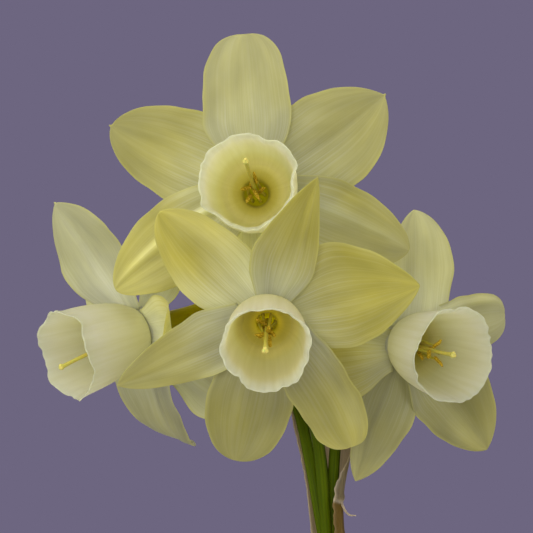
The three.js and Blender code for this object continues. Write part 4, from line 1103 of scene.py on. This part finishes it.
def spathe_parts():
    # Both lists are rounded off a little by averaging over their neighbours in height.
    z = np.linspace(SPATHE_LOW, SPATHE_HIGH, SPATHE_ROWS)
    heights, lefts, rights = np.array(SPATHE_SIDES).T
    soft = np.linspace(-1.5, 1.5, 7)
    west = np.mean([np.interp(z + k, heights, lefts) for k in soft], axis=0)
    east = np.mean([np.interp(z + k, heights, rights) for k in soft], axis=0)
    left = lerp(-100, -8, smoothstep(z, 430, 442))
    right = np.mean([np.interp(z + k, *np.array(SPATHE_EDGE).T) for k in 0.5 * soft], axis=0)
    frayed = 1.6 * np.sin(1.9 * z) + 1.2 * np.sin(3.7 * z + 1)
    share = np.linspace(0, 1, SPATHE_COLUMNS)
    angle = np.radians(lerp((left + frayed)[:, None], (right - frayed)[:, None], share[None]))
    # An oval round the stalks, wrinkled, with a lip at the torn line and free edges that curl out.
    above = np.maximum(0, z - 404)
    wide = (east - west)[:, None] / 2
    deep = (3.3 + 0.06 * above)[:, None]
    lip = 0.3 * np.exp(-(((z - TORN_AT - 0.6) / 0.7) ** 2))[:, None] * (angle > 0.6)
    wrinkle = 0.1 * np.sin(8 * angle + 0.3 * z[:, None]) + 0.06 * np.sin(19 * angle) + lip
    curled = np.clip(1 - share / 0.08, 0, 1) ** 2 + np.clip((share - 0.92) / 0.08, 0, 1) ** 2
    wrinkle = wrinkle + 0.35 * curled
    middle = stacked(
        (east + west)[:, None] / 2 + (wide + wrinkle) * np.sin(angle),
        (0.1 + 0.012 * above ** 2)[:, None] + (deep + wrinkle) * np.cos(angle),
        z[:, None] + 0.25 * np.sin(5 * angle),
    )
    points, faces = sheet(middle, np.full(angle.shape, 0.1))
    tall = np.broadcast_to(z[:, None], angle.shape)
    grain = stacked(angle * 3.5, tall, 0)
    # Brown below the torn line, pale along it, and a painted highlight along the curled free edges.
    brown = 0.95 * (1 - smoothstep(tall, TORN_AT - 0.3, TORN_AT + 0.1)) * smoothstep(angle, 0.5, 1.4)
    free_edge_highlight = np.maximum(np.clip(1 - share / 0.05, 0, 1), np.clip((share - 0.93) / 0.07, 0, 1))[None] * 0.8
    torn = 0.9 * np.exp(-(((tall - TORN_AT - 0.3) / 0.25) ** 2)) * smoothstep(angle, 0.5, 1.4)
    shade = stacked(brown, np.maximum(free_edge_highlight * (1 - brown), torn), 0)
    parts = [(points, faces, {"grain": on_both_faces(grain), "shade": on_both_faces(shade)}, 0)]
    strip, _ = route(STRIP, STRIP_POINTS)
    radii = np.interp(np.linspace(0, 1, STRIP_POINTS), [0, 0.7, 1], [0.28, 0.2, 0.1])
    points, faces = loft(tube_rings(strip, radii, 8))
    parts.append((points, faces, {"grain": points, "shade": np.tile([0, 0.8, 0], (len(points), 1))}, 0))
    return parts


piece("spathe_fine", spathe_parts(), [BRACT_PAPER], "spathe", "spathe")

# %% [markdown]
# ## Leaves
# Narcissus leaves are thick straps, channelled inside and rounded at the tip, with parallel veins
# about a millimetre apart. A thin bloom of wax greys their green. They are white where the sheath
# kept the light out.

# %% Leaf material
def leaf_material():
    material, tree = new_material("waxy strap leaf")
    grain = add_node(tree, "ShaderNodeAttribute", {}, attribute_name="grain")
    shade = add_node(tree, "ShaderNodeAttribute", {}, attribute_name="shade")
    parts = add_node(tree, "ShaderNodeSeparateXYZ", {0: shade.outputs["Vector"]})
    across = add_node(tree, "ShaderNodeSeparateXYZ", {0: grain.outputs["Vector"]})
    # One vein in every 0.95 mm across.
    turns = add_node(tree, "ShaderNodeMath", {0: across, 1: TAU / 0.95}, operation="MULTIPLY")
    wave = add_node(tree, "ShaderNodeMath", {0: turns}, operation="SINE")
    stretched = add_node(tree, "ShaderNodeVectorMath",
                         {0: grain.outputs["Vector"], 1: (1.5, 0.02, 1)}, operation="MULTIPLY")
    streaks = add_node(tree, "ShaderNodeTexNoise",
                       {"Vector": stretched, "Scale": 1.0, "Detail": 4.0, "Roughness": 0.6})
    # The wax lies in patches of a centimetre or so and is rubbed off in between.
    bloom = add_node(tree, "ShaderNodeTexNoise",
                     {"Vector": grain.outputs["Vector"], "Scale": 0.09, "Detail": 4.0})
    green = add_node(tree, "ShaderNodeValToRGB",
                     {0: streaks}, stops=[(0.3, "#3d5a22"), (0.7, "#5e7d3a")])
    veined = add_node(tree, "ShaderNodeMapRange", {0: wave, 1: 0.2, 2: 1.0, 3: 0.0, 4: 0.35})
    lined = add_node(tree, "ShaderNodeMix", {0: veined, 6: green, 7: "#7d9856"}, data_type="RGBA")
    waxy = add_node(tree, "ShaderNodeMapRange", {0: bloom, 1: 0.35, 2: 0.7, 3: 0.08, 4: 0.5})
    greyed = add_node(tree, "ShaderNodeMix",
                      {0: waxy, 6: lined.outputs[2], 7: "#76917a"}, data_type="RGBA")
    paled = add_node(tree, "ShaderNodeMix",
                     {0: parts, 6: greyed.outputs[2], 7: "#dfe0b4"}, data_type="RGBA")
    tipped = add_node(tree, "ShaderNodeMix",
                      {0: parts.outputs[1], 6: paled.outputs[2], 7: "#a98f4c"}, data_type="RGBA")
    height = add_node(tree, "ShaderNodeMath", {0: wave, 1: streaks}, operation="ADD")
    bump = add_node(tree, "ShaderNodeBump", {"Height": height, "Strength": 0.2, "Distance": 0.00012})
    gloss = add_node(tree, "ShaderNodeMapRange", {0: bloom, 1: 0.3, 2: 0.7, 3: 0.36, 4: 0.6})
    surface = add_node(tree, "ShaderNodeBsdfPrincipled",
                       {"Base Color": tipped.outputs[2], "Roughness": gloss, "IOR": 1.45,
                        "Normal": bump})
    through = add_node(tree, "ShaderNodeBsdfTranslucent", {"Color": "#7f9c3c"})
    both = add_node(tree, "ShaderNodeMixShader", {0: 0.12, 1: surface, 2: through})
    add_node(tree, "ShaderNodeOutputMaterial", {"Surface": both})
    return material


LEAF_SKIN = leaf_material()
print("made", LEAF_SKIN.name)

# %% [markdown]
# A leaf is the same blade as a petal, but long, stiff and twisted by a few dozen degrees. The two
# noses of the bulb are given by place, bulb radius, neck radius and the height of the sheath. A
# leaf's row names its nose, how far from its middle the leaf stands and in which direction, and
# then its length, width, lean, curl, hook, sway and twist.

# %% Build the leaves
NOSES = {"main": (0, 0, 20, 10.4, 126), "side": (3, 22, 13, 8.2, 117)}
LEAF_FOOT = 96.3
LEAF_ROWS = 150
LEAF_COLUMNS = 25
LEAVES = [
    ("main", 4.6, 180, 300, 13, 1, 17, 12, 14, 50),
    ("main", 7.4, 180, 286, 14, 3, 50, 40, -18, -30),
    ("main", 4.6, 0, 298, 12.5, 1, 16, 8, 15, -70),
    ("main", 7.4, 0, 276, 14, 4, 64, 52, -14, 34),
    ("side", 0, 90, 288, 12, 5, 24, 18, 10, 60),
    ("side", 3.4, 90, 262, 12.5, 8, 60, 48, -24, -26),
    ("side", -3.4, 90, 256, 11, 2, 18, 10, -26, 40),
]


def leaf_parts(row, seed):
    nose, shift, heading, length, width, lean, bend, hook, sway, turn = row
    x, y = NOSES[nose][:2]
    out = np.array([math.cos(math.radians(heading)), math.sin(math.radians(heading)), 0])
    form = {**BLADE, "length": length, "width": width, "lean": -lean, "curl": -bend, "hook": -hook,
            "sway": sway, "twist": turn, "cup": 34, "cupTip": 26, "wave": 0, "fold": 0.5, "widest": 0.5,
            "neck": 0.7, "point": 7, "blunt": 2.1}
    s = 1 - (1 - np.linspace(0, 1, LEAF_ROWS)) ** 1.6
    v = np.sin(np.pi / 2 * np.linspace(-1, 1, LEAF_COLUMNS))
    S, V = np.meshgrid(s, v, indexing="ij")
    phase = np.random.default_rng(seed).uniform(0, TAU)
    edge_wave = 0.35 * np.abs(V) ** 2 * np.sin(TAU * 3.1 * S + phase) * np.sin(np.pi * S)
    share = np.maximum(outline(form, s), 1e-3)[:, None]
    foot = np.array([x, y, LEAF_FOOT]) + out * shift
    middle = blade(form, foot, UP, -out, s, v, share, edge_wave)
    # It is 1.9 mm thick at its foot and 1.1 mm near its tip, and thins out towards its edges.
    half = 0.5 * lerp(1.9, 1.1, S) * np.sqrt(np.clip(1 - np.abs(V) ** 3, 0, 1))
    half = half * np.clip(1 - S ** 40, 0, 1)
    points, faces = sheet(middle, half)
    # Pale for the 18 to 62 mm inside the sheath, and dry and brown at the very tip.
    grain = stacked(V * width / 2 + 30 * seed, S * length, 0)
    paleness = 0.9 * (1 - smoothstep(S * length, 18, 62))
    browning = smoothstep(S, 0.985, 1.0) * 0.9
    shade = stacked(paleness, browning, 0)
    return [(points, faces, {"grain": on_both_faces(grain), "shade": on_both_faces(shade)}, 0)]


for number, row in enumerate(LEAVES, 1):
    piece(f"leaf_{number}_fine", leaf_parts(row, number), [LEAF_SKIN], "leaf", f"leaf_{number}")

# %% [markdown]
# ## Bulb and sheaths
# The bulb is in the soil. Its necks come out as pale sheaths round the feet of the leaves, with the
# remains of the brown skin round them. Both are turned forms whose upper edge is pushed up and down
# by a few sines, so that it looks torn. They use the paper of the spathe in other colours, because
# all three are old, dry leaf tissue.

# %% Build the bulb
BULB_SKIN = paper_material("papery bulb skin", "#6b4a2a", "#a37c50", "#8a6238", 0.08, 1.0)
SHEATH = paper_material("pale leaf sheath", "#b9b184", "#dedab2", "#cfc98e", 0.2, 1.2)
BULB_SIDES = 96


def bulb_parts():
    parts = []
    for seed, (x, y, bulb, neck, top) in enumerate(NOSES.values()):
        body = smooth_outline([
            (0.01, 50), (0.55 * bulb, 50.6), (0.9 * bulb, 58), (bulb, 70), (0.88 * bulb, 81),
            (max(neck + 1.2, 0.6 * bulb), 91), (neck + 0.4, 99), (neck + 0.15, 106), (neck - 0.7, 106.3),
            (neck - 1.0, 98), (0.01, 97.5),
        ], 90)
        rings = turned(body, BULB_SIDES)
        angle = np.arctan2(rings[..., 0], rings[..., 1])
        z = rings[..., 2]
        torn = smoothstep(z, 100, 106)
        ragged = 1.6 * np.sin(3 * angle + seed) + 1.1 * np.sin(7 * angle + 2) + 0.5 * np.sin(17 * angle)
        z += torn * (ragged - 1)
        rings[..., :2] *= (1 + 0.006 * np.sin(21 * angle + 0.05 * z))[..., None]
        points, faces = loft(rings)
        layers = {"grain": with_caps(stacked(angle * bulb, z, 0)), "shade": np.zeros((len(points), 3))}
        parts.append((points + [x, y, 0], faces, layers, 0))
        tube = smooth_outline([
            (neck - 1.2, 96), (neck - 0.7, 104), (neck - 0.9, top - 6), (neck - 0.8, top),
            (neck - 1.5, top), (neck - 1.9, top - 5), (neck - 2.3, top - 10), (0.01, top - 11),
        ], 70)
        rings = turned(tube, BULB_SIDES)
        angle = np.arctan2(rings[..., 0], rings[..., 1])
        z = rings[..., 2]
        late = smoothstep(z, top - 6, top)
        z += late * (1.2 * np.cos(angle + 0.6 + seed) + 0.4 * np.sin(5 * angle) - 1.2)
        rings[..., :2] *= (1 + 0.012 * np.sin(9 * angle + seed) * smoothstep(z, 96, 110))[..., None]
        points, faces = loft(rings)
        layers = {"grain": with_caps(stacked(angle * neck, z, 9)), "shade": np.zeros((len(points), 3))}
        parts.append((points + [x, y, 0], faces, layers, 1))
    return parts


piece("bulb_fine", bulb_parts(), [BULB_SKIN, SHEATH], "bulb", "bulb")

# %% [markdown]
# ## Soil
# Potting soil is dark peat with crumbs, short fibres and a little pale grit. The ground is a ring
# grid raised by noise, and the crumbs are small rough stones scattered on it from a fixed seed and
# joined to it as one mesh.

# %% Soil material
def soil_material():
    material, tree = new_material("moist peat soil")
    place = add_node(tree, "ShaderNodeTexCoord", {})
    shade = add_node(tree, "ShaderNodeAttribute", {}, attribute_name="shade")
    parts = add_node(tree, "ShaderNodeSeparateXYZ", {0: shade.outputs["Vector"]})
    # Lumps of 3 to 4 mm, and fibres and grains of less than 1 mm in the bump.
    coarse = add_node(tree, "ShaderNodeTexNoise",
                      {"Vector": place.outputs["Object"], "Scale": 260.0, "Detail": 6.0,
                       "Roughness": 0.7})
    earth = add_node(tree, "ShaderNodeValToRGB",
                     {0: coarse}, stops=[(0.3, "#1d1510"), (0.5, "#35281e"), (0.75, "#5b4534")])
    mixed = add_node(tree, "ShaderNodeMix", {0: parts, 6: earth, 7: "#a3937c"}, data_type="RGBA")
    fine = add_node(tree, "ShaderNodeTexNoise",
                    {"Vector": place.outputs["Object"], "Scale": 1400.0, "Detail": 4.0})
    bump = add_node(tree, "ShaderNodeBump", {"Height": fine, "Strength": 0.8, "Distance": 0.0006})
    gloss = add_node(tree, "ShaderNodeMapRange", {0: coarse, 3: 0.8, 4: 1.0})
    surface = add_node(tree, "ShaderNodeBsdfPrincipled",
                       {"Base Color": mixed.outputs[2], "Roughness": gloss, "IOR": 1.4, "Normal": bump})
    add_node(tree, "ShaderNodeOutputMaterial", {"Surface": surface})
    return material


SOIL_EARTH = soil_material()
print("made", SOIL_EARTH.name)

# %% [markdown]
# A crumb starts as an icosahedron of twelve points, which is squeezed and roughened at random. A
# crumb that would lie in a bulb's neck is left out.

# %% Build the soil
SOIL_TOP = 101
SOIL_RADIUS = 55.9
SOIL_SIDES = 200
SOIL_RINGS = 76
CRUMBS = 2600
PALE_SHARE = 0.035
GOLD = (1 + 5 ** 0.5) / 2
ICO_POINTS = np.array([
    (-1, GOLD, 0), (1, GOLD, 0), (-1, -GOLD, 0), (1, -GOLD, 0), (0, -1, GOLD), (0, 1, GOLD),
    (0, -1, -GOLD), (0, 1, -GOLD), (GOLD, 0, -1), (GOLD, 0, 1), (-GOLD, 0, -1), (-GOLD, 0, 1),
]) / 1.9
ICO_FACES = [(0, 11, 5), (0, 5, 1), (0, 1, 7), (0, 7, 10), (0, 10, 11), (1, 5, 9), (5, 11, 4),
             (11, 10, 2), (10, 7, 6), (7, 1, 8), (3, 9, 4), (3, 4, 2), (3, 2, 6), (3, 6, 8), (3, 8, 9),
             (4, 9, 5), (2, 4, 11), (6, 2, 10), (8, 6, 7), (9, 8, 1)]


def ground_height(x, y):
    """The CAD model's low lumps, with three sizes of noise on them."""
    lump = 1.1 * (math.sin(0.23 * x + 1) * math.cos(0.19 * y) + 0.7 * math.sin(0.13 * x - 0.27 * y + 2))
    rough = 0
    for scale, size in ((0.16, 0.9), (0.45, 0.7), (1.1, 0.45)):
        rough += size * noise.noise(Vector((x * scale, y * scale, 3.7)))
    return SOIL_TOP + lump + rough


def soil_parts():
    radii = SOIL_RADIUS * np.linspace(1, 0, SOIL_RINGS) ** 0.8
    radii[-1] = 0.02
    top = turned([(r, 0) for r in radii], SOIL_SIDES)
    for ring in top:
        for point in ring:
            point[2] = ground_height(point[0], point[1])
    wall = turned([(36.9, 9.3), (45.0, 50.0), (54.6, 96.0)], SOIL_SIDES)
    points, faces = loft(np.concatenate([wall, top]))
    parts = [(points, faces, {"shade": np.zeros((len(points), 3))}, 0)]
    dice = np.random.default_rng(11)
    for _ in range(CRUMBS):
        far = SOIL_RADIUS * 0.985 * math.sqrt(dice.uniform())
        way = dice.uniform(0, TAU)
        x, y = far * math.cos(way), far * math.sin(way)
        if any(math.hypot(x - nx, y - ny) < neck + 0.6 for nx, ny, _, neck, _ in NOSES.values()):
            continue
        size = 0.45 + 1.1 * dice.uniform() ** 4
        shape = ICO_POINTS * size * dice.uniform(0.6, 1.3, 3) * dice.uniform(0.82, 1.18, (12, 1))
        turn = dice.uniform(0, TAU)
        c, s = math.cos(turn), math.sin(turn)
        shape = shape @ np.array([[c, s, 0], [-s, c, 0], [0, 0, 1]])
        # Crumbs at the wall are moved in, so that none of them sticks in the clay.
        room = min(1.0, (SOIL_RADIUS - size * 1.4) / max(far, 1e-3))
        points = shape + [x * room, y * room, ground_height(x * room, y * room) + 0.15 * size]
        pale = 0.9 if dice.uniform() < PALE_SHARE else 0.25 * dice.uniform() ** 2
        parts.append((points, ICO_FACES, {"shade": np.tile([pale, 0, 0], (12, 1))}, 0))
    return parts


piece("soil_fine", soil_parts(), [SOIL_EARTH], "soil", "soil")

# %% [markdown]
# ## Clay pot
# The pot is plain terracotta, turned on a wheel and fired without glaze. The clay is matt and a
# little sandy, with faint turning rings. Water that dries through the wall leaves pale lime on the
# outside, most of it low down.

# %% Terracotta material
def clay_material():
    material, tree = new_material("unglazed terracotta, turned")
    place = add_node(tree, "ShaderNodeTexCoord", {})
    parts = add_node(tree, "ShaderNodeSeparateXYZ", {0: place.outputs["Object"]})
    mottle = add_node(tree, "ShaderNodeTexNoise",
                      {"Vector": place.outputs["Object"], "Scale": 28.0, "Detail": 6.0,
                       "Roughness": 0.62})
    clay = add_node(tree, "ShaderNodeValToRGB",
                    {0: mottle}, stops=[(0.3, "#9c5233"), (0.5, "#b3653f"), (0.72, "#c67a54")])
    # Grit of 0.3 to 0.5 mm in the clay.
    grit = add_node(tree, "ShaderNodeTexNoise",
                    {"Vector": place.outputs["Object"], "Scale": 1500.0, "Detail": 3.0})
    speck = add_node(tree, "ShaderNodeMapRange", {0: grit, 1: 0.6, 2: 0.72, 3: 0.0, 4: 0.4})
    gritty = add_node(tree, "ShaderNodeMix", {0: speck, 6: clay, 7: "#d9a07c"}, data_type="RGBA")
    # Lime lies in patches, and more of it in the lowest 70 mm.
    patch = add_node(tree, "ShaderNodeTexNoise",
                     {"Vector": place.outputs["Object"], "Scale": 17.0, "Detail": 8.0,
                      "Roughness": 0.7})
    low = add_node(tree, "ShaderNodeMapRange", {0: parts.outputs[2], 1: 0.0, 2: 0.07, 3: 0.16, 4: 0.0})
    lime = add_node(tree, "ShaderNodeMath", {0: patch, 1: low}, operation="ADD")
    lime_share = add_node(tree, "ShaderNodeMapRange", {0: lime, 1: 0.52, 2: 0.78, 3: 0.0, 4: 0.6})
    bloomed = add_node(tree, "ShaderNodeMix",
                       {0: lime_share, 6: gritty.outputs[2], 7: "#d8c3ae"}, data_type="RGBA")
    # Turning rings, about 2.5 mm apart up the wall.
    rings = add_node(tree, "ShaderNodeTexWave",
                     {"Vector": place.outputs["Object"], "Scale": 62.0, "Distortion": 1.2,
                      "Detail": 2.0},
                     wave_type="BANDS", bands_direction="Z")
    height = add_node(tree, "ShaderNodeMath",
                      {0: rings.outputs[1], 1: 0.6, 2: grit}, operation="MULTIPLY_ADD")
    bump = add_node(tree, "ShaderNodeBump", {"Height": height, "Strength": 0.35, "Distance": 0.0004})
    gloss = add_node(tree, "ShaderNodeMapRange", {0: patch, 3: 0.78, 4: 0.95})
    surface = add_node(tree, "ShaderNodeBsdfPrincipled",
                       {"Base Color": bloomed.outputs[2], "Roughness": gloss, "IOR": 1.5,
                        "Normal": bump})
    add_node(tree, "ShaderNodeOutputMaterial", {"Surface": surface})
    return material


TERRACOTTA = clay_material()
print("made", TERRACOTTA.name)

# %% [markdown]
# The wall is one outline turned round the middle, with its corners rounded as a wet sponge rounds
# them. The three drain holes are cut with a boolean modifier, which is applied at once, so that the
# mesh that is kept has real holes.

# %% Build the pot
POT_SIDES = 160
CORNER_RADIUS = 1.6
HOLE_RADIUS = 4.5
HOLE_PLACE = 22
POT_OUTLINE = [(0.02, 0), (43, 0), (57.5, 94), (61.5, 94), (64, 118), (58, 118), (37, 9), (0.02, 9)]


def rounded(corners, radius):
    """The corner points with each inner corner replaced by a small arc of six points."""
    points = [np.array(c, float) for c in corners]
    made = [points[0]]
    for before, corner, after in zip(points, points[1:], points[2:]):
        to_before, to_after = before - corner, after - corner
        reach = min(radius, 0.45 * np.linalg.norm(to_before), 0.45 * np.linalg.norm(to_after))
        p = corner + to_before / np.linalg.norm(to_before) * reach
        q = corner + to_after / np.linalg.norm(to_after) * reach
        for t in np.linspace(0, 1, 6):
            made.append((1 - t) ** 2 * p + 2 * t * (1 - t) * corner + t ** 2 * q)
    return [tuple(p) for p in (*made, points[-1])]


def dense(outline_points, step):
    """The same outline with points no further apart than the step."""
    made = [outline_points[0]]
    for a, b in zip(outline_points, outline_points[1:]):
        count = max(1, math.ceil(math.dist(a, b) / step))
        made += [tuple(lerp(np.array(a), np.array(b), k / count)) for k in range(1, count + 1)]
    return made


def pot_parts():
    rings = turned(dense(rounded(POT_OUTLINE, CORNER_RADIUS), 4.0), POT_SIDES)
    # Clay shrinks as it dries, so a turned pot is never quite round.
    angle = np.arctan2(rings[..., 0], rings[..., 1])
    rings[..., :2] *= (1 + 0.0012 * np.sin(2 * angle + 1) + 0.0008 * np.sin(5 * angle))[..., None]
    points, faces = loft(rings)
    return [(points, faces, {}, 0)]


pot = piece("pot_fine", pot_parts(), [TERRACOTTA], "pot", "pot")
for k in range(3):
    ring = HOLE_RADIUS * np.array([(math.cos(a), math.sin(a), 0) for a in ring_angles(32)])
    place = HOLE_PLACE * np.array([math.cos(TAU * k / 3 + 0.4), math.sin(TAU * k / 3 + 0.4), 0])
    points, faces = loft(np.stack([ring + place + [0, 0, -3], ring + place + [0, 0, 12]]))
    mesh = bpy.data.meshes.new("drain_cutter")
    mesh.from_pydata((points * MM).tolist(), [], [tuple(int(i) for i in f) for f in faces])
    cutter = bpy.data.objects.new("drain_cutter", mesh)
    bpy.context.collection.objects.link(cutter)
    cut = pot.modifiers.new("drain", "BOOLEAN")
    cut.operation = "DIFFERENCE"
    cut.object = cutter
    bpy.context.view_layer.update()
    graph = bpy.context.evaluated_depsgraph_get()
    drilled = bpy.data.meshes.new_from_object(pot.evaluated_get(graph))
    pot.modifiers.clear()
    pot.data = drilled
    bpy.data.objects.remove(cutter)
print("pot faces after drilling:", len(pot.data.polygons))

# %% [markdown]
# ## Floor, light and camera
# The pot stands on a matt floor. The floor ends 0.75 m in front of the pot, because the front lamp
# stands low over it and would burn it out where it is seen from behind.

# %% Floor
def floor_material():
    material, tree = new_material("matt painted floor")
    place = add_node(tree, "ShaderNodeTexCoord", {})
    mottle = add_node(tree, "ShaderNodeTexNoise", {"Vector": place.outputs["Object"], "Scale": 6.0})
    colour = add_node(tree, "ShaderNodeValToRGB",
                      {0: mottle}, stops=[(0.3, "#cfcdd2"), (0.7, "#d6d4d9")])
    surface = add_node(tree, "ShaderNodeBsdfPrincipled", {"Base Color": colour, "Roughness": 0.9})
    add_node(tree, "ShaderNodeOutputMaterial", {"Surface": surface})
    return material


# A grid of twelve by twelve squares.
STEPS = 13
across = np.linspace(-1.5, 1.5, STEPS)
back = np.linspace(-0.75, 1.5, STEPS)
floor_points = [(x, y, 0) for y in back for x in across]
corners = [j * STEPS + i for j in range(STEPS - 1) for i in range(STEPS - 1)]
floor_faces = [(c, c + 1, c + STEPS + 1, c + STEPS) for c in corners]
floor_mesh = bpy.data.meshes.new("floor")
floor_mesh.from_pydata(floor_points, [], floor_faces)
floor_mesh.materials.append(floor_material())
floor = bpy.data.objects.new("floor", floor_mesh)
bpy.context.collection.objects.link(floor)
print("the floor has", len(floor_faces), "faces and ends", -back[0], "m in front of the pot")

# %% [markdown]
# Five soft discs of light stand round the plant, as in a bright room: one overhead, a strong one in
# front, one on each side and one behind, which makes the thin petals glow. Each has a place, a size
# in metres and a power in watts. The world is a plain violet grey that fills the shadows. The
# Standard view shows pale colours as they are set, where a film-like one would grey them.

# %% Light
world = bpy.data.worlds.new("plain studio")
bpy.context.scene.world = world
world.use_nodes = True
world.node_tree.nodes["Background"].inputs["Color"].default_value = linear("#6d6680")
world.node_tree.nodes["Background"].inputs["Strength"].default_value = 1.0
bpy.context.scene.view_settings.view_transform = "Standard"
LAMPS = [
    ("overhead", (-0.25, -0.3, 1.25), 0.9, 5.5),
    ("front", (-0.2, -1.45, 0.58), 1.1, 14.6),
    ("left", (-1.15, -0.5, 0.6), 0.8, 6.0),
    ("right", (1.15, -0.5, 0.6), 0.8, 5.0),
    ("back", (0.3, 1.2, 1.0), 0.9, 6.0),
]
TARGET = Vector((-0.005, 0, 0.44))  # the middle of the four flowers
for name, place, size, power in LAMPS:
    lamp = bpy.data.lights.new(name, "AREA")
    lamp.shape = "DISK"
    lamp.size = size
    lamp.energy = power
    holder = bpy.data.objects.new(name, lamp)
    holder.location = place
    holder.rotation_euler = (TARGET - Vector(place)).to_track_quat("-Z", "Y").to_euler()
    bpy.context.collection.objects.link(holder)
print("lamps:", [lamp[0] for lamp in LAMPS])

# %% [markdown]
# The camera stands at the height of the flowers, 0.7 m in front of them, and looks straight ahead.
# Its long lens shows a field of 107 mm, just the four flowers.

# %% Camera
DISTANCE = 0.7
SENSOR = 36
LENS = 236.4
camera_data = bpy.data.cameras.new("camera")
camera_data.sensor_width = SENSOR
camera_data.lens = LENS
camera = bpy.data.objects.new("camera", camera_data)
camera.location = (-0.0067, -DISTANCE, 0.46)
camera.rotation_euler = (math.radians(90), 0, 0)
bpy.context.collection.objects.link(camera)
bpy.context.scene.camera = camera
print("frame is", round(DISTANCE / MM * SENSOR / LENS, 1), "mm wide at the flowers")
